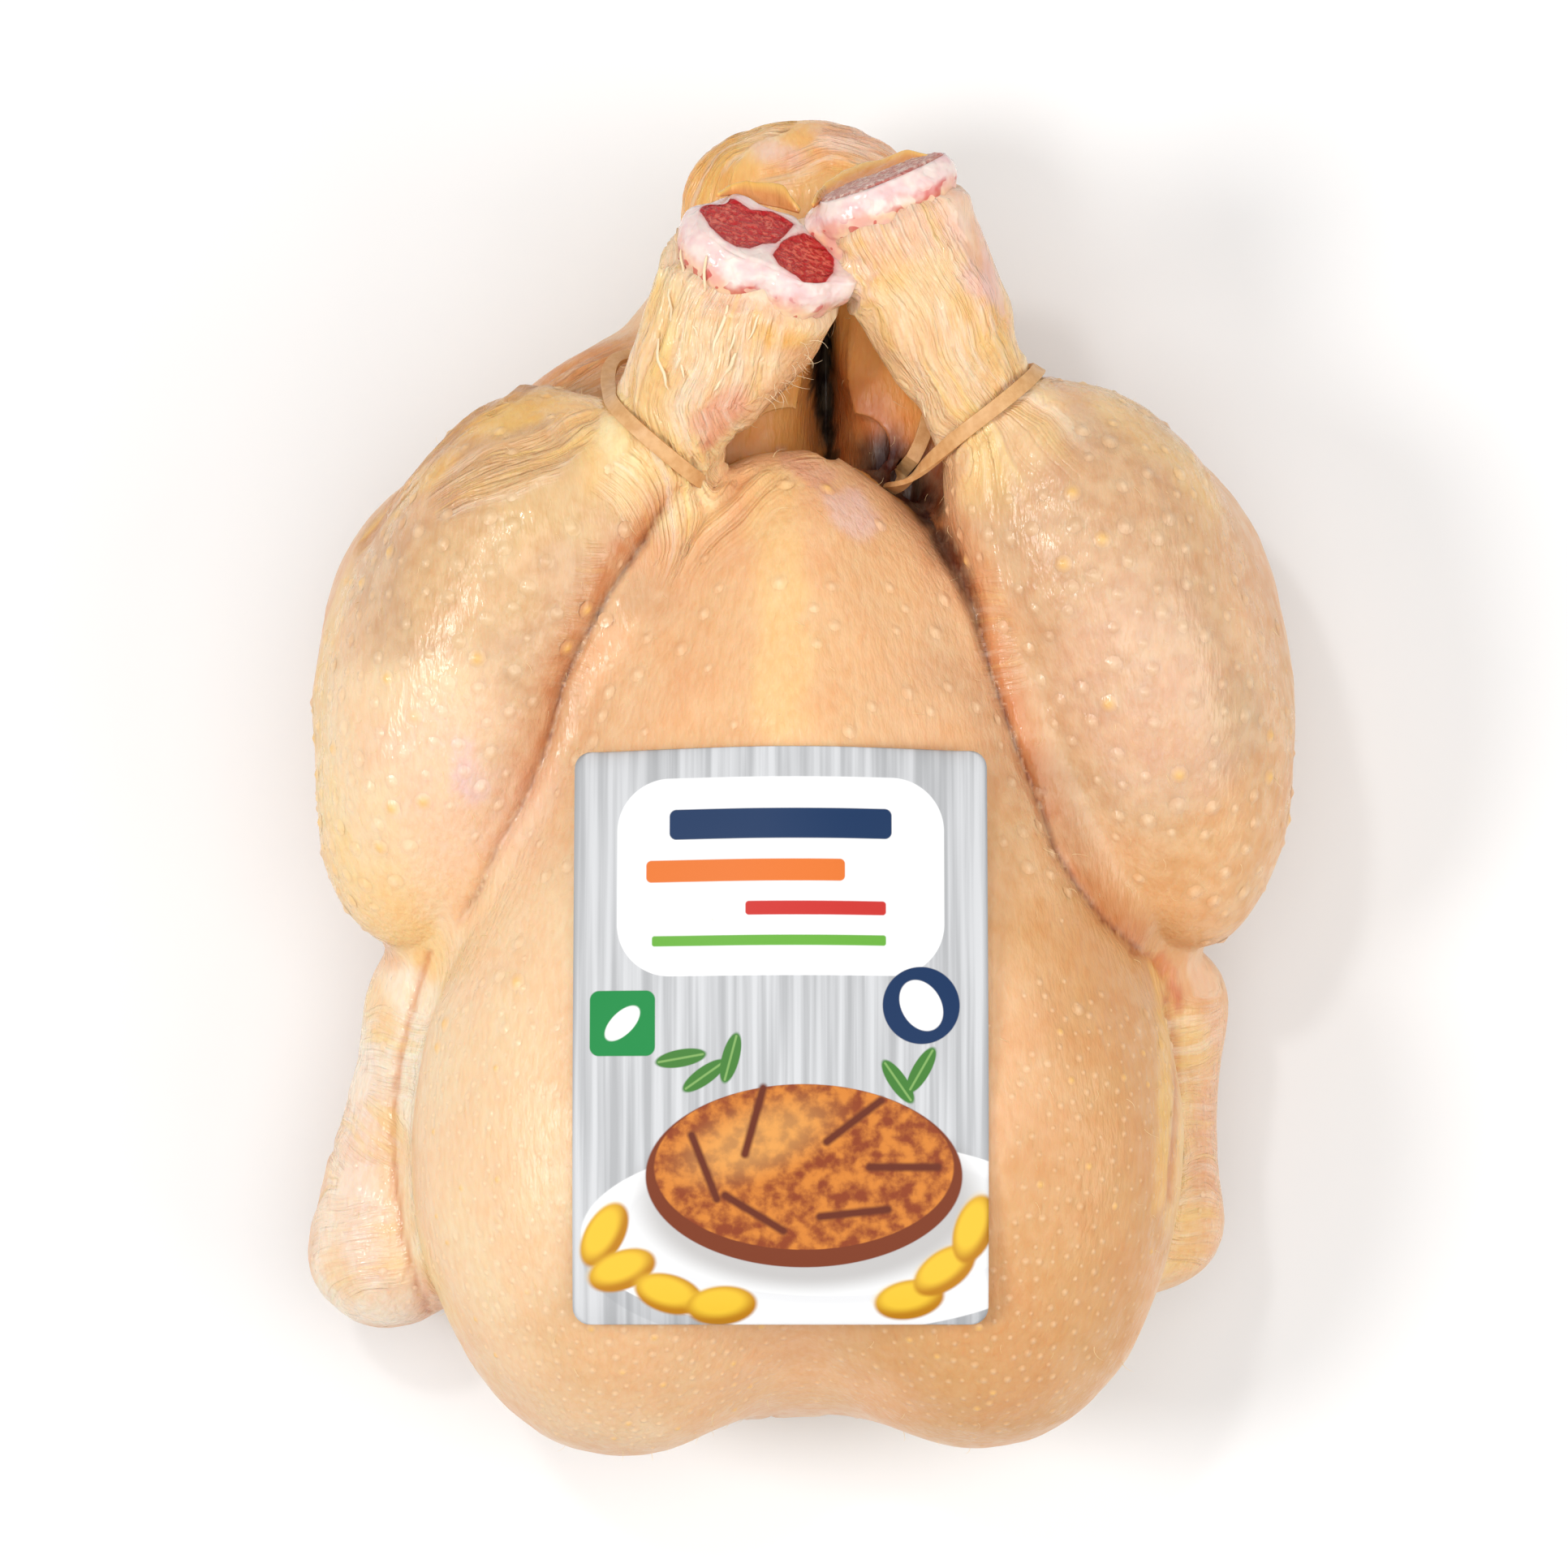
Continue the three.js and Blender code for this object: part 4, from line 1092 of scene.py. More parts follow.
class Recipe:
    """Builds one material's nodes."""

    def __init__(self, name):
        self.material = bpy.data.materials.new(name)
        self.material.use_nodes = True
        self.tree = self.material.node_tree
        self.surface = self.tree.nodes["Principled BSDF"]
        self.where = self.tree.nodes.new("ShaderNodeTexCoord").outputs["Object"]

    def add(self, kind, output=0, settings=None, **inputs):
        return add_node(self.tree, "ShaderNode" + kind, output, settings, inputs)

    def set(self, **inputs):
        """Sets the shader's own inputs."""
        for key, value in inputs.items():
            feed(self.tree, self.surface.inputs[key.replace("_", " ")], value)

    def noise(self, size, detail=2.0, vector=None, **more):
        """Noise with features of a size in mm."""
        return self.add("TexNoise", Vector=vector or self.where, Scale=1000 / size, Detail=detail, **more)

    def ramp(self, value, low, high, bottom=0.0, top=1.0):
        """Maps low..high smoothly to bottom..top."""
        how = {"interpolation_type": "SMOOTHSTEP"}
        return self.add("MapRange", settings=how, Value=value, i1=low, i2=high, i3=bottom, i4=top)

    def maths(self, how, a, b=0.0, c=0.0):
        return self.add("Math", settings={"operation": how}, i0=a, i1=b, i2=c)

    def times(self, a, b):
        return self.maths("MULTIPLY", a, b)

    def mix(self, share, a, b, how="MIX"):
        node = self.tree.nodes.new("ShaderNodeMix")
        node.data_type = "RGBA"
        node.blend_type = how
        for socket, value in ((0, share), (6, a), (7, b)):
            feed(self.tree, node.inputs[socket], value)
        return node.outputs[2]

    def number(self, name):
        return self.add("Attribute", output="Fac", settings={"attribute_name": name})

    def bump(self, height, millimetres):
        return self.add("Bump", Height=height, Strength=1.0, Distance=millimetres * MM)


# %% [markdown]
# ### Raw skin
# The vertex colours give the slow changes, and noise breaks them up. In the folds, noise that is
# stretched along the fold draws the fine wrinkles. Subsurface scattering lets light travel a few
# millimetres, red the furthest, as in real flesh. The scattered bumps are open shells, through which
# light can't travel, so they get the same material without it.


# %% Skin material
def skin_material(name, light_travels):
    r = Recipe(name)
    base = r.add("VertexColor", settings={"layer_name": "skin_colour"})
    goose = r.number("goose")
    fold = r.number("fold")
    pimple = r.number("pimple")
    along = r.add("Attribute", output="Vector", settings={"attribute_name": "fold_place"})

    wrinkle = r.add("TexNoise", Vector=along, Scale=0.75, Detail=2.0, Roughness=0.6)
    wrinkle = r.maths("ABSOLUTE", r.maths("MULTIPLY_ADD", wrinkle, 5.0, -2.5))
    ridges = r.times(r.maths("MINIMUM", wrinkle, 1.0), fold)

    patches = r.noise(15, detail=1)
    mottle = r.noise(3.6, detail=2)
    drawn_out = r.add("Mapping", Vector=r.where, Scale=(1, 0.35, 1))
    streaks = r.noise(1.1, detail=2, vector=drawn_out)
    shade = r.mix(r.ramp(patches, 0.3, 0.7, 0.0, 0.28), base, tone(255, 224, 212), "MULTIPLY")
    shade = r.mix(r.ramp(streaks, 0.25, 0.75, 0.0, 0.3), shade, tone(244, 206, 160), "MULTIPLY")
    blotch = r.times(r.ramp(mottle, 0.7, 0.3), r.maths("MULTIPLY_ADD", goose, 0.2, 0.1))
    shade = r.mix(blotch, shade, tone(252, 222, 180))
    strands = r.add("TexNoise", Vector=along, Scale=0.32, Detail=3.0, Roughness=0.6)
    white = r.times(r.ramp(strands, 0.5, 0.66), r.times(fold, 0.5))
    shade = r.mix(white, shade, tone(255, 238, 216))
    golden = r.times(r.ramp(strands, 0.46, 0.34), r.times(fold, 0.5))
    shade = r.mix(golden, shade, tone(250, 212, 128))
    # Painted shade: the valleys between the fold wrinkles are darkened.
    valley_shade = r.times(r.maths("SUBTRACT", fold, ridges), 0.22)
    shade = r.mix(valley_shade, shade, tone(230, 168, 112), "MULTIPLY")
    shade = r.mix(r.times(pimple, 0.3), shade, tone(252, 226, 188))
    yellow = r.ramp(r.number("pick"), 0.93, 0.95, 0.0, 0.6)
    shade = r.mix(r.times(yellow, pimple), shade, tone(244, 186, 76))

    height = r.maths("MULTIPLY_ADD", streaks, 0.32, r.times(ridges, 0.32))
    damp = r.ramp(mottle, 0.35, 0.65, 0.08, 0.24)
    dry = r.ramp(mottle, 0.3, 0.7, 0.28, 0.46)
    r.set(
        Base_Color=shade,
        Roughness=r.add("Mix", Factor=r.number("wet"), A=dry, B=damp),
        Normal=r.bump(height, 1.0),
        IOR=1.42,
    )
    if light_travels:
        r.set(
            Subsurface_Weight=0.3,
            Subsurface_Radius=(1.0, 0.42, 0.22),
            Subsurface_Scale=3.5 * MM,
        )
    return r.material


skin.data.materials.clear()
skin.data.materials.append(skin_material("raw_skin", True))
shade_smooth(skin)


# %% [markdown]
# ### Bone, cartilage and blood
# The caps carry two numbers for each vertex: how far a point is outside the red ovals, and how deep
# it lies below the cut. Both change evenly over the faces, so a sharp line drawn from them in the
# material stays sharp however close one looks.


# %% Leg end material
def hock_material(name, marrow_dark, marrow_light, marrow_rim, spongy):
    r = Recipe(name)
    marrow = r.number("marrow")
    depth = r.number("depth")
    cloud = r.noise(3.4, detail=2)
    wobble = r.maths("MULTIPLY_ADD", cloud, 1.0, -0.5)
    edge = r.maths("ADD", marrow, r.times(wobble, 0.6))
    inside = r.ramp(edge, 0.12, -0.12)
    grains = r.ramp(r.noise(0.9, detail=2), 0.38, 0.62)
    blots = r.ramp(r.noise(2.4, detail=1), 0.4, 0.62)
    red = r.mix(r.times(grains, spongy), marrow_dark, marrow_light)
    red = r.mix(r.times(blots, 0.45), red, marrow_dark)
    red = r.mix(r.ramp(edge, -1.5, -0.2, 0.0, 0.7), red, marrow_rim)
    pearl = r.mix(r.ramp(cloud, 0.3, 0.7), tone(250, 230, 220), tone(238, 202, 200))
    pearl = r.mix(r.ramp(edge, 0.9, 0.0, 0.0, 0.45), pearl, tone(222, 120, 116))
    tissue = r.mix(r.ramp(cloud, 0.35, 0.65), tone(250, 210, 172), tone(240, 182, 164))
    tissue = r.mix(r.ramp(blots, 0.85, 1.0, 0.0, 0.7), tissue, tone(204, 44, 48))
    low = r.ramp(r.maths("MULTIPLY_ADD", wobble, 6.0, depth), 3.2, 6.0)
    outside = r.mix(low, pearl, tissue)
    shade = r.mix(inside, outside, red)
    height = r.times(inside, r.times(grains, 0.25))
    surface = r.bump(r.maths("MULTIPLY_ADD", blots, 0.12, height), 1.0)
    rough = r.add("Mix", Factor=inside, A=r.ramp(cloud, 0.3, 0.7, 0.06, 0.18), B=0.36)
    r.set(
        Base_Color=shade,
        Roughness=rough,
        Normal=surface,
        IOR=1.42,
        Subsurface_Weight=0.3,
        Subsurface_Radius=(1.0, 0.35, 0.25),
        Subsurface_Scale=2.5 * MM,
    )
    return r.material


caps["left"].data.materials.append(
    hock_material("cut_bone_red", tone(196, 40, 42), tone(236, 118, 98), tone(186, 18, 30), 0.85)
)
caps["right"].data.materials.append(
    hock_material("cut_bone_grey", tone(206, 134, 120), tone(244, 214, 198), tone(212, 92, 88), 0.9)
)

# %% [markdown]
# ## Goose flesh, hairs and frayed skin
# These repeat all over the skin. One tree of Geometry Nodes scatters a small shape over a surface,
# denser where a named number on the mesh says so. Its inputs are named, so the same tree makes the
# bumps of the plucked feathers, the finer grain of the shoulders, the last hairs and the white fibres.


# %% A tree that scatters shapes
def scatter_tree():
    tree = bpy.data.node_groups.new("scatter_over_skin", "GeometryNodeTree")
    for name, kind in (
        ("Skin", "Geometry"),
        ("Shape", "Object"),
        ("Finish", "Material"),
        ("Where", "String"),
        ("Spacing", "Float"),
        ("Smallest", "Float"),
        ("Largest", "Float"),
        ("Leaning", "Float"),
        ("Disorder", "Float"),
        ("Seed", "Int"),
    ):
        tree.interface.new_socket(name, in_out="INPUT", socket_type="NodeSocket" + kind)
    tree.interface.new_socket("Pieces", in_out="OUTPUT", socket_type="NodeSocketGeometry")
    given = tree.nodes.new("NodeGroupInput").outputs

    def add(kind, output=0, settings=None, **inputs):
        return add_node(tree, kind, output, settings, inputs)

    def maths(how, a, kind="Math", **inputs):
        return add("ShaderNode" + kind, settings={"operation": how}, i0=a, **inputs)

    number = {"data_type": "FLOAT"}
    vector = {"data_type": "FLOAT_VECTOR"}
    seed = given["Seed"]
    density = add("GeometryNodeInputNamedAttribute", settings=number, Name=given["Where"])
    square = maths("MULTIPLY", given["Spacing"], i1=given["Spacing"])
    most = maths("DIVIDE", 2.0, i1=square)
    points = add(
        "GeometryNodeDistributePointsOnFaces",
        settings={"distribute_method": "POISSON"},
        Mesh=given["Skin"],
        Distance_Min=given["Spacing"],
        Density_Max=most,
        Density_Factor=density,
        Seed=seed,
    )
    lean = add("GeometryNodeInputNamedAttribute", settings=vector, Name="lean")
    lean = maths("SCALE", lean, "VectorMath", Scale=given["Leaning"])
    stray = add("FunctionNodeRandomValue", 0, vector, i0=(-1, -1, -1), i1=(1, 1, 1), Seed=seed)
    stray = maths("SCALE", stray, "VectorMath", Scale=given["Disorder"])
    way = maths("ADD", points.node.outputs["Normal"], "VectorMath", i1=lean)
    way = maths("ADD", way, "VectorMath", i1=stray)
    turn = add("FunctionNodeAlignRotationToVector", settings={"axis": "Z"}, Vector=way)
    angle = add("FunctionNodeRandomValue", 1, number, i2=0.0, i3=2 * math.pi, Seed=seed)
    spin = add("FunctionNodeAxisAngleToRotation", Axis=(0, 0, 1), Angle=angle)
    local = {"rotation_space": "LOCAL"}
    turn = add("FunctionNodeRotateRotation", settings=local, Rotation=turn, Rotate_By=spin)
    sizes = {"i2": given["Smallest"], "i3": given["Largest"]}
    size = add("FunctionNodeRandomValue", 1, number, Seed=seed, **sizes)
    shape = add("GeometryNodeObjectInfo", "Geometry", Object=given["Shape"])
    pieces = add("GeometryNodeInstanceOnPoints", Points=points, Instance=shape, Rotation=turn, Scale=size)
    pick = add("FunctionNodeRandomValue", 1, number, i2=0.0, i3=1.0, Seed=seed)
    pieces = add(
        "GeometryNodeStoreNamedAttribute",
        settings={"data_type": "FLOAT", "domain": "INSTANCE"},
        Geometry=pieces,
        Name="pick",
        Value=pick,
    )
    pieces = add("GeometryNodeRealizeInstances", Geometry=pieces)
    pieces = add("GeometryNodeSetMaterial", Geometry=pieces, Material=given["Finish"])
    tree.links.new(pieces, tree.nodes.new("NodeGroupOutput").inputs[0])
    return tree


SCATTER = scatter_tree()


# %% Run the tree
def scattered(name, shape, finish, **inputs):
    """Scatters a shape over the skin and returns the pieces as one object."""
    pieces = new_object(name, skin.data.copy())
    modifier = pieces.modifiers.new("scatter", "NODES")
    modifier.node_group = SCATTER
    inputs.update(Shape=shape, Finish=finish)
    for item in SCATTER.interface.items_tree:
        if item.in_out == "INPUT" and item.name in inputs:
            modifier[item.identifier] = inputs[item.name]
    baked(pieces)
    print(name + ":", len(pieces.data.polygons), "faces")
    return shade_smooth(pieces)


# %% [markdown]
# ### The shapes that are scattered
# Each shape is small, because hundreds of it are laid out. A bump is a low dome whose rim runs into
# the skin. A hair is a thin bent tube that tapers to a point.

# %% Shapes
BUMP_RADIUS = 1.5
BUMP_HEIGHT = 0.48
BUMP_SPOKES = 9
BUMP_SUNK = 0.02
HAIR_LENGTH = 3.0
HAIR_RADIUS = 0.055
HAIR_TAPER = 0.75
HAIR_STEPS = 6


def bump_shape():
    places = [(0, 0, BUMP_HEIGHT * MM)]
    raised = [1.0]
    for share in (0.33, 0.66, 1.0):
        high = (1 + math.cos(share * math.pi)) / 2
        for spoke in range(BUMP_SPOKES):
            angle = spoke * 2 * math.pi / BUMP_SPOKES
            out = BUMP_RADIUS * share * MM
            top = (BUMP_HEIGHT * high - BUMP_SUNK) * MM
            places.append((out * math.cos(angle), out * math.sin(angle), top))
            raised.append(high)
    faces = []
    for spoke in range(BUMP_SPOKES):
        after = (spoke + 1) % BUMP_SPOKES
        faces.append((0, 1 + spoke, 1 + after))
        for ring in range(2):
            a = 1 + ring * BUMP_SPOKES
            faces.append((a + spoke, a + BUMP_SPOKES + spoke, a + BUMP_SPOKES + after, a + after))
    mesh = new_mesh("bump", places, faces)
    keep_numbers(mesh, "pimple", raised)
    return new_object("bump", mesh)


def tube(points, radii, sides, start):
    """Places and faces of a tapered tube along points. The faces count from start."""
    points = np.array(points)
    way = np.gradient(points, axis=0)
    way /= np.linalg.norm(way, axis=1, keepdims=True)
    across = np.cross(way, [0.13, 0.21, 0.97])
    across /= np.linalg.norm(across, axis=1, keepdims=True)
    over = np.cross(way, across)
    places = []
    faces = []
    for row, radius in enumerate(radii):
        for side in range(sides):
            angle = side * 2 * math.pi / sides
            out = math.cos(angle) * across[row] + math.sin(angle) * over[row]
            places.append(points[row] + radius * out)
    for row in range(len(radii) - 1):
        for side in range(sides):
            after = (side + 1) % sides
            a = start + row * sides
            faces.append((a + side, a + after, a + sides + after, a + sides + side))
    return places, faces


def hair_shape():
    t = np.linspace(0, 1, HAIR_STEPS)
    up = HAIR_LENGTH * t - 1.1 * t**2 - 0.2
    line = np.stack([1.6 * t**2, 0.5 * np.sin(t * 2.2), up], axis=1) * MM
    places, faces = tube(line, HAIR_RADIUS * (1 - HAIR_TAPER * t) * MM, 3, 0)
    return new_object("hair", new_mesh("hair", places, faces))


def plain_material(name, colour, rough):
    r = Recipe(name)
    r.set(Base_Color=colour, Roughness=rough)
    return r.material


# %% Scatter them
bump = bump_shape()
hair = hair_shape()
bump_skin = skin_material("raw_skin_bumps", False)
hair_finish = plain_material("fine_hair", tone(250, 222, 168), 0.4)
fibre_finish = plain_material("white_fibre", tone(248, 224, 184), 0.35)
SCATTERED = (
    # piece, shape, finish, where, spacing mm, smallest, largest, leaning, disorder, seed
    ("goose_bumps", bump, bump_skin, "goose", 4.2, 0.6, 1.15, 0.0, 0.0, 3),
    ("shoulder_grain", bump, bump_skin, "grain", 2.4, 0.3, 0.6, 0.0, 0.0, 4),
    ("hairs", hair, hair_finish, "hair", 6.0, 0.5, 1.2, 1.6, 1.0, 5),
    ("frayed_edge", hair, fibre_finish, "fray", 0.9, 0.5, 1.7, 0.5, 1.3, 6),
)
scattered_pieces = []
for name, shape, finish, where, spacing, smallest, largest, leaning, disorder, seed in SCATTERED:
    sizes = {"Spacing": spacing * MM, "Smallest": smallest, "Largest": largest}
    ways = {"Where": where, "Leaning": leaning, "Disorder": disorder, "Seed": seed}
    scattered_pieces.append(scattered(name, shape, finish, **sizes, **ways))
for shape in (bump, hair):
    bpy.data.objects.remove(shape)

# %% [markdown]
# ### Torn tendons and loose skin
# A few torn tendons lie on the left leg's end. Each is a tapered strand along points picked from the
# photograph, lifted a little off the skin. Behind both cuts a thin edge of loose skin stands out. It
# is a ribbon between the cut's own edge and a free outline, which hangs a little lower.

# %% Tendons
SHREDS = [
    # thickness mm, pixels
    (0.55, [(896, 379), (890, 400), (884, 422), (880, 438)]),
    (0.40, [(911, 396), (906, 414), (899, 434)]),
    (0.60, [(909, 436), (900, 452), (888, 468), (879, 480)]),
    (0.35, [(937, 386), (929, 402), (920, 417)]),
    (0.40, [(873, 318), (871, 338), (869, 360)]),
    (0.35, [(864, 314), (868, 324), (874, 330)]),
    (0.35, [(838, 306), (839, 330), (842, 352)]),
    (0.40, [(833, 438), (838, 452), (844, 467)]),
    (0.30, [(846, 392), (856, 404), (862, 418)]),
    (0.35, [(826, 350), (823, 380), (829, 404)]),
    (0.45, [(812, 420), (816, 450), (822, 482)]),
    (0.35, [(1128, 484), (1136, 500), (1142, 515)]),
]
SHRED_STEPS = 9
SHRED_SIDES = 6
SHRED_WAVE = 0.9


def evenly(points, count):
    """A count of evenly numbered places along a line of points."""
    points = np.array(points)
    place = np.linspace(0, len(points) - 1, count)
    return np.stack([np.interp(place, range(len(points)), points[:, k]) for k in range(3)], axis=1)


def shreds():
    places = []
    faces = []
    for number, (thick, path) in enumerate(SHREDS):
        t = np.linspace(0, 1, SHRED_STEPS)
        line = evenly([on_skin(*pixel) for pixel in path], SHRED_STEPS)
        waves = [ripple(line, 4 * MM, 60 + number + k) for k in range(3)]
        line += np.stack(waves, axis=1) * SHRED_WAVE * MM
        line[:, 2] += (thick * 0.3 + 0.5 * t**2) * MM
        radii = 0.7 * thick * MM * np.sqrt(np.clip(1.02 - np.abs(2 * t - 0.9) ** 3, 0.06, 1))
        more, sides = tube(line, radii, SHRED_SIDES, len(places))
        places += more
        faces += sides
    mesh = new_mesh("torn_tendons", places, faces)
    mesh.materials.append(fibre_finish)
    return shade_smooth(new_object("torn_tendons", mesh))


tendons = shreds()
print("tendons:", len(tendons.data.polygons), "faces")

# %% Loose skin behind the cuts
LOOSE_SKIN = {
    "left": {
        "behind": 1.2,
        "edge": [(886, 236), (902, 234), (922, 240), (944, 246), (966, 250), (988, 256)],
        "free": [(886, 236), (900, 226), (920, 219), (944, 222), (968, 228), (988, 256)],
    },
    "right": {
        "behind": 0.8,
        "edge": [(1000, 250), (1018, 238), (1044, 228), (1071, 216), (1098, 205), (1125, 196), (1146, 190)],
        "free": [(1000, 250), (1014, 228), (1036, 213), (1062, 203), (1092, 193), (1120, 187), (1146, 190)],
    },
}
LOOSE_THICK = 0.7
LOOSE_HANG = 0.35
LOOSE_CURL = 0.9
LOOSE_COLUMNS = 40
LOOSE_ROWS = 7


# %% Build the loose skin
def on_plane(hock, px, py):
    u, w = on_cut(hock, px, py)
    cut, _, long, other = hock_axes(hock)
    return cut + (long * u + other * w) * MM


def less_hanging(free, edge):
    """Moves the free edge along the lines of sight, up to a little below the cut's edge."""
    way = free - np.array(camera.location)
    wanted = edge[:, 2] - (edge[:, 2] - free[:, 2]) * LOOSE_HANG
    return free + way * ((wanted - free[:, 2]) / way[:, 2])[:, None]


def loose_skin(side, plan):
    hock = HOCKS[side]
    edge = evenly([on_plane(hock, *pixel) for pixel in plan["edge"]], LOOSE_COLUMNS)
    free = evenly([on_plane(hock, *pixel) for pixel in plan["free"]], LOOSE_COLUMNS)
    free = less_hanging(free, edge)
    _, facing, _, _ = hock_axes(hock)
    places = []
    for row in range(LOOSE_ROWS):
        share = row / (LOOSE_ROWS - 1)
        line = edge * (1 - share) + free * share
        curl = ripple(line, 4 * MM, 70) * 0.5 * share + LOOSE_CURL * share**2 - plan["behind"]
        places.append(line + np.outer(curl * MM, facing))
    places = np.concatenate(places)
    mesh = new_mesh("loose_skin_" + side, places, grid_faces(LOOSE_ROWS, LOOSE_COLUMNS))
    share = np.repeat(np.linspace(0, 1, LOOSE_ROWS), LOOSE_COLUMNS)
    colour = np.tile(COLOURS["amber"], (len(places), 1))
    keep_colours(mesh, blended(colour, COLOURS["fat"], smooth(share, 0.4, 1.0)))
    keep_numbers(mesh, "wet", np.ones(len(places)))
    sheet = new_object("loose_skin_" + side, mesh)
    thick = sheet.modifiers.new("thick", "SOLIDIFY")
    thick.thickness = LOOSE_THICK * MM
    thick.offset = 0
    rounding = sheet.modifiers.new("rounding", "SUBSURF")
    rounding.levels = rounding.render_levels = 1
    baked(sheet)
    sheet.data.materials.clear()
    sheet.data.materials.append(bump_skin)
    return shade_smooth(sheet)


loose = [loose_skin(side, plan) for side, plan in LOOSE_SKIN.items()]
print("loose skin:", [len(piece.data.polygons) for piece in loose], "faces")

# %% [markdown]
# ## The rubber band
# A flat natural rubber band, cut from a sheet, so its edges are square but soft. It is the CAD band
# with bevelled edges and one subdivision.


# %% Rubber band
BAND_EDGE = 0.22 * MM


def rubber_material():
    r = Recipe("natural_rubber")
    dusty = r.ramp(r.noise(1.6, detail=4), 0.3, 0.7)
    shade = r.mix(dusty, tone(228, 180, 124), tone(214, 160, 102))
    surface = r.bump(r.noise(0.5, detail=3), 0.05)
    r.set(
        Base_Color=shade,
        Roughness=r.ramp(r.noise(2.5), 0.3, 0.7, 0.42, 0.6),
        Normal=surface,
        Subsurface_Weight=0.15,
        Subsurface_Radius=(1.0, 0.7, 0.4),
        Subsurface_Scale=1.0 * MM,
    )
    return r.material


rubber_band = new_object("band", sewn("rubber_band"))
edges = rubber_band.modifiers.new("soft_edges", "BEVEL")
edges.width = BAND_EDGE
edges.segments = 2
edges.angle_limit = math.radians(50)
finer = rubber_band.modifiers.new("finer", "SUBSURF")
finer.levels = finer.render_levels = 1
baked(rubber_band)
rubber_band.data.materials.clear()
rubber_band.data.materials.append(rubber_material())
shade_smooth(rubber_band)
print("band:", len(rubber_band.data.polygons), "faces")

# %% [markdown]
# ## The label
# A printed card that takes the breast's curve. Its height comes from rays dropped on the CAD label,
# evened out, and Solidify gives it the card's thickness. The print is drawn by the material in
# millimetres on the card, from plain shapes such as discs, ovals and bars.

# %% Label card
LABEL_LOW, LABEL_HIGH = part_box("label")
LABEL_CORNER = 3.0 * MM
LABEL_THICK = 0.7 * MM
LABEL_COLUMNS = 72
LABEL_ROWS = 100
LABEL_CALM = 24
LABEL_INSET = 0.02 * MM
ABOVE_ALL = 0.2
UV_SCALE = 10


def label_heights(xs, ys):
    """The card's top over a grid, from rays dropped on the CAD label, then evened out."""
    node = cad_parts["label"].data
    corners = [v.co for v in node.vertices]
    tree = BVHTree.FromPolygons(corners, [tuple(p.vertices) for p in node.polygons])
    heights = np.full(xs.shape, np.nan)
    for place in np.ndindex(xs.shape):
        start = Vector((xs[place], ys[place], ABOVE_ALL))
        hit = tree.ray_cast(start, Vector((0, 0, -1)))[0]
        if hit is not None:
            heights[place] = hit.z
    known = ~np.isnan(heights)
    heights[~known] = heights[known].mean()
    for _ in range(LABEL_CALM):
        wide = np.pad(heights, 1, mode="edge")
        even = (wide[:-2, 1:-1] + wide[2:, 1:-1] + wide[1:-1, :-2] + wide[1:-1, 2:]) / 4
        heights = np.where(known, 0.5 * heights + 0.5 * even, even)
    return heights


# %% Build the card
def label_card():
    middle = (LABEL_LOW + LABEL_HIGH) / 2
    width = LABEL_HIGH.x - LABEL_LOW.x
    length = LABEL_HIGH.y - LABEL_LOW.y
    turn = np.linspace(0, math.pi / 2, 7)
    ends = LABEL_CORNER * (1 - np.cos(turn))
    across = np.linspace(LABEL_CORNER, length - LABEL_CORNER, LABEL_ROWS)
    lines = np.concatenate([ends, across[1:-1], length - ends[::-1]])
    into = np.maximum(np.maximum(LABEL_CORNER - lines, lines - (length - LABEL_CORNER)), 0)
    half = width / 2 - LABEL_CORNER + np.sqrt(np.maximum(LABEL_CORNER**2 - into**2, 0)) - LABEL_INSET
    share = np.linspace(-1, 1, LABEL_COLUMNS)
    xs = middle.x + half[:, None] * share[None]
    ys = np.repeat((LABEL_LOW.y + lines)[:, None], LABEL_COLUMNS, axis=1)
    ys = np.clip(ys, LABEL_LOW.y + LABEL_INSET, LABEL_HIGH.y - LABEL_INSET)
    zs = label_heights(xs, ys)
    points = np.stack([xs, ys, zs], axis=2).reshape(-1, 3)
    faces = grid_faces(len(lines), LABEL_COLUMNS)
    mesh = new_mesh("label_card", points, faces)
    uv = mesh.uv_layers.new(name="print")
    corner = points[np.ravel(faces), :2] - [middle.x, middle.y]
    uv.data.foreach_set("uv", (corner * UV_SCALE).ravel())
    return mesh


card = new_object("label_card", label_card())
thick = card.modifiers.new("thick", "SOLIDIFY")
thick.thickness = LABEL_THICK
thick.offset = -1
baked(card)
shade_smooth(card)
print("label:", len(card.data.polygons), "faces")


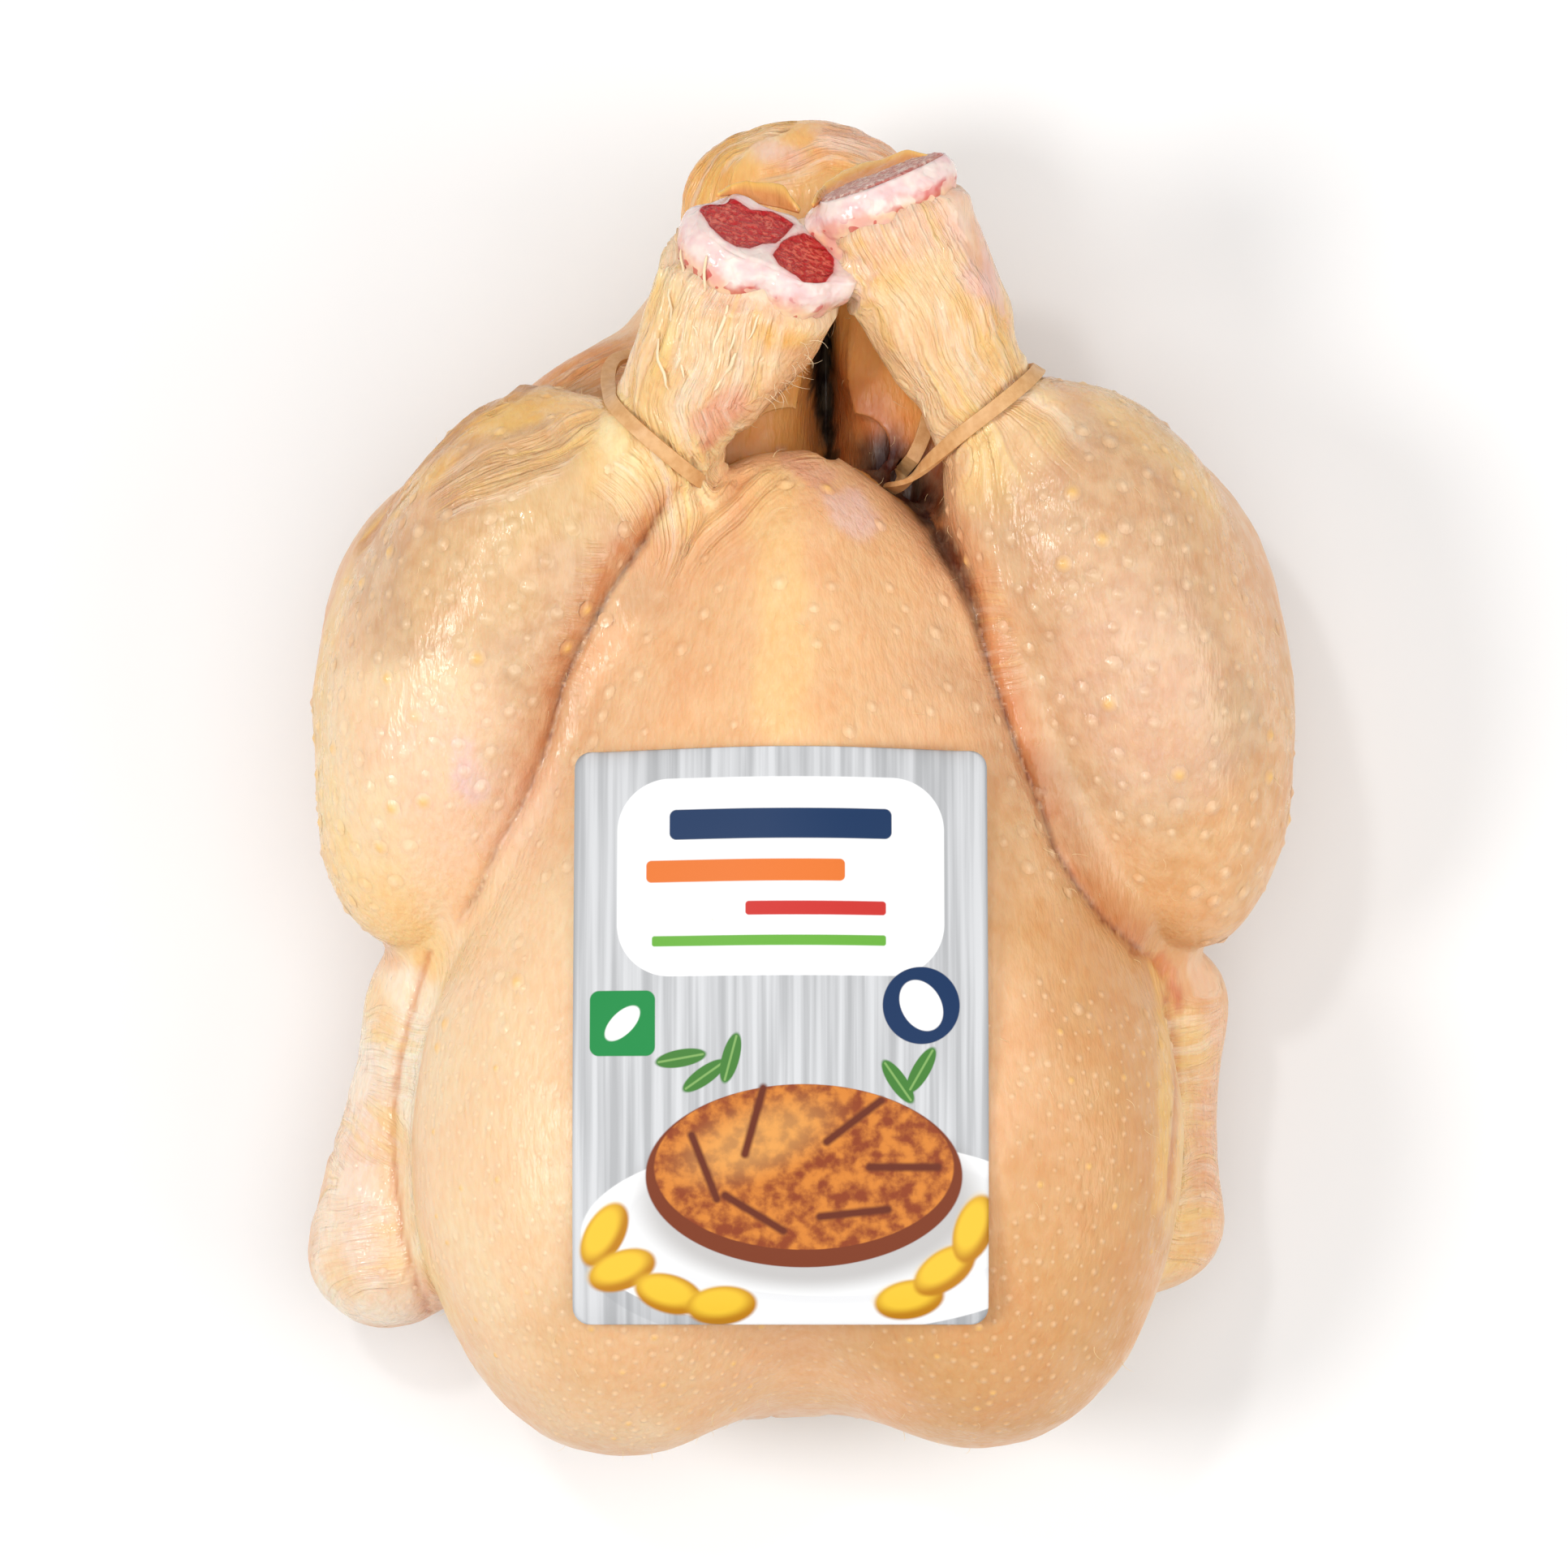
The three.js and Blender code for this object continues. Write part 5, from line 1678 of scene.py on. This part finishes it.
# %% Tools for the print
class Print(Recipe):
    """Lays flat shapes over each other, placed in mm from the middle of the card."""

    def __init__(self, name):
        super().__init__(name)
        layout = self.tree.nodes.new("ShaderNodeUVMap")
        layout.uv_map = "print"
        self.spot = self.vectors("SCALE", layout.outputs[0], Scale=1 / MM / UV_SCALE)

    def vectors(self, how, a, output=0, **inputs):
        return self.add("VectorMath", output=output, settings={"operation": how}, i0=a, **inputs)

    def placed(self, at, degrees, size=(1, 1)):
        """Coordinates from a shape's own middle, turned with it and measured in its size."""
        return self.add(
            "Mapping",
            settings={"vector_type": "TEXTURE"},
            Vector=self.spot,
            Location=(*at, 0),
            Rotation=(0, 0, math.radians(degrees)),
            Scale=(*size, 1),
        )

    def lay(self, share, colour, strength=1.0):
        if strength < 1:
            share = self.times(share, strength)
        self.look = self.mix(share, self.look, colour)

    def oval(self, at, wide, high, colour, degrees=0.0, soft=0.12, strength=1.0):
        """Sizes are halves, and soft is how wide the edge fades."""
        far = self.vectors("LENGTH", self.placed(at, degrees, (wide, high)), output="Value")
        edge = soft / min(wide, high)
        self.lay(self.ramp(far, 1 + edge, 1 - edge), colour, strength)

    def bar(self, at, wide, high, round_by, colour, degrees=0.0, soft=0.12):
        inner = (wide - round_by, high - round_by, 0)
        beyond = self.vectors("SUBTRACT", self.vectors("ABSOLUTE", self.placed(at, degrees)), i1=inner)
        far = self.vectors("LENGTH", self.vectors("MAXIMUM", beyond, i1=(0, 0, 0)), output="Value")
        self.lay(self.ramp(far, round_by + soft, round_by - soft), colour)


# %% Print on the label
WEDGES = (
    ((-30, -34), 60), ((-27, -40), 20), ((-19, -44), -15), ((-10, -46), 5), ((22, -45), 10),
    ((28, -40), 35), ((33, -33), 70),
)
LEAVES = (((-13, -7), 35), ((-8.5, -4), 75), ((-17, -4), 10), ((20, -8), 125), ((24, -6), 60))
MEAT = (4, -22.5)
GRILL_MARKS = 6


def serving(p):
    """A browned cutlet on a plate, with wedges and leaves."""
    p.oval((10, -37), 44, 17, tone(150, 152, 156), strength=0.25)
    p.oval((8, -34), 42, 16.5, tone(246, 246, 246))
    p.oval((8, -33), 35, 13, tone(222, 222, 224), soft=1.0, strength=0.6)
    p.oval((8, -32.2), 34, 12.2, tone(240, 240, 240))
    browned = p.add("TexNoise", Vector=p.spot, Scale=0.35, Detail=4.0)
    crust = p.mix(p.ramp(browned, 0.35, 0.65), tone(142, 62, 26), tone(214, 130, 50))
    p.oval((5, -28), 29, 15, tone(120, 110, 104), soft=2.0, strength=0.5)
    p.oval((4, -24), 27, 15.5, tone(122, 54, 24))
    p.oval(MEAT, 25.5, 14, crust)
    p.oval((-4, -18), 12, 5, tone(246, 190, 110), 20, soft=3.0, strength=0.4)
    for mark in range(GRILL_MARKS):
        turn = mark * 2 * math.pi / GRILL_MARKS
        at = (MEAT[0] + 17 * math.cos(turn), MEAT[1] + 9 * math.sin(turn))
        p.bar(at, 6.5, 0.7, 0.7, tone(104, 42, 20), mark * 37.2, soft=0.4)
    for at, turn in WEDGES:
        p.oval(at, 6.0, 3.3, tone(186, 124, 20), turn, soft=0.3)
        p.oval((at[0] - 0.5, at[1] + 0.6), 5.0, 2.4, tone(238, 194, 56), turn, soft=0.8)
    for at, turn in LEAVES:
        p.oval(at, 4.4, 1.5, tone(66, 124, 50), turn)
        p.bar(at, 4.0, 0.18, 0.18, tone(130, 172, 96), turn)


def label_material():
    p = Print("printed_card")
    stretched = p.vectors("MULTIPLY", p.spot, i1=(1, 0.02, 1))
    grain = p.add("TexNoise", Vector=stretched, Scale=0.55, Detail=3.0)
    p.look = p.mix(p.ramp(grain, 0.34, 0.66), tone(176, 177, 179), tone(212, 213, 215))
    serving(p)
    p.bar((0, 27), 28, 17, 9, tone(247, 247, 247))
    p.bar((0, 36), 19, 2.6, 1.2, tone(22, 52, 92))
    p.bar((-6, 28), 17, 1.9, 0.9, tone(226, 118, 48))
    p.bar((6, 21.5), 12, 1.2, 0.6, tone(200, 50, 44))
    p.bar((-2, 16), 20, 0.9, 0.45, tone(104, 172, 60))
    p.oval((24, 5), 6.6, 6.6, tone(14, 48, 90))
    p.oval((24, 5), 3.4, 4.6, tone(244, 244, 244), 30)
    p.bar((-27, 2), 5.6, 5.6, 1.6, tone(20, 136, 66))
    p.oval((-27, 2), 3.8, 1.9, tone(240, 244, 240), 45)
    p.set(Base_Color=p.look, Roughness=0.45, Specular_IOR_Level=0.2)
    return p.material


card.data.materials.append(label_material())

# %% [markdown]
# ## Floor and light
# A plain pale floor and broad soft lights, as in a product photograph. The main light stands on the
# left, so that the right-hand side of the bird is a little darker.


# %% Light
LIGHTS = (
    # name, place in m, size in m, watts
    ("key", (-0.7, -0.1, 1.0), 0.36, 5.3),
    ("glint", (-0.3, 0.3, 1.2), 0.1, 1.6),
    ("top", (0.12, -0.2, 1.35), 1.0, 5.5),
    ("fill", (0.9, -0.2, 0.8), 0.9, 4.5),
)
ROOM_LIGHT = 0.34


def area_light(name, place, size, watts):
    data = bpy.data.lights.new(name, "AREA")
    data.shape = "DISK"
    data.size = size
    data.energy = watts
    light = bpy.data.objects.new(name, data)
    light.location = place
    light.rotation_mode = "QUATERNION"
    light.rotation_quaternion = (LOOK_AT - Vector(place)).to_track_quat("-Z", "Y")
    bpy.context.scene.collection.objects.link(light)


for light in LIGHTS:
    area_light(*light)

world = bpy.data.worlds.new("soft_room")
world.use_nodes = True
background = world.node_tree.nodes["Background"].inputs
background["Color"].default_value = (1, 1, 1, 1)
background["Strength"].default_value = ROOM_LIGHT
scene = bpy.context.scene
scene.world = world
scene.view_settings.view_transform = "Standard"

# On a pale floor, with no glass in the scene, light needs few bounces.
scene.cycles.max_bounces = 4
scene.cycles.diffuse_bounces = 2
scene.cycles.glossy_bounces = 1
print("lights:", len(LIGHTS))

# %% Floor
HALF_FLOOR = 3.0
corners = [(x * HALF_FLOOR, y * HALF_FLOOR, 0) for x, y in ((-1, -1), (1, -1), (1, 1), (-1, 1))]
floor = new_object("floor", new_mesh("floor", corners, [(0, 1, 2, 3)]))
floor.data.materials.append(plain_material("pale_paper", tone(250, 250, 250), 0.9))
floor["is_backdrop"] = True

# %% Attach the pieces to the root, and hide the solids that they replace
for piece, node, finish in (
    (skin, "carcass", "skin"),
    (rubber_band, "rubber_band", "rubber"),
    (card, "label", "label_film"),
):
    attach(piece, "root")
    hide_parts(node)
for extra in [*caps.values(), *scattered_pieces, tendons, *loose]:
    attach(extra, "root")

visual_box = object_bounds()
sizes = {"cad": [list(c) for c in cad_box], "visual": [list(c) for c in visual_box]}
print("sizes:", sizes)
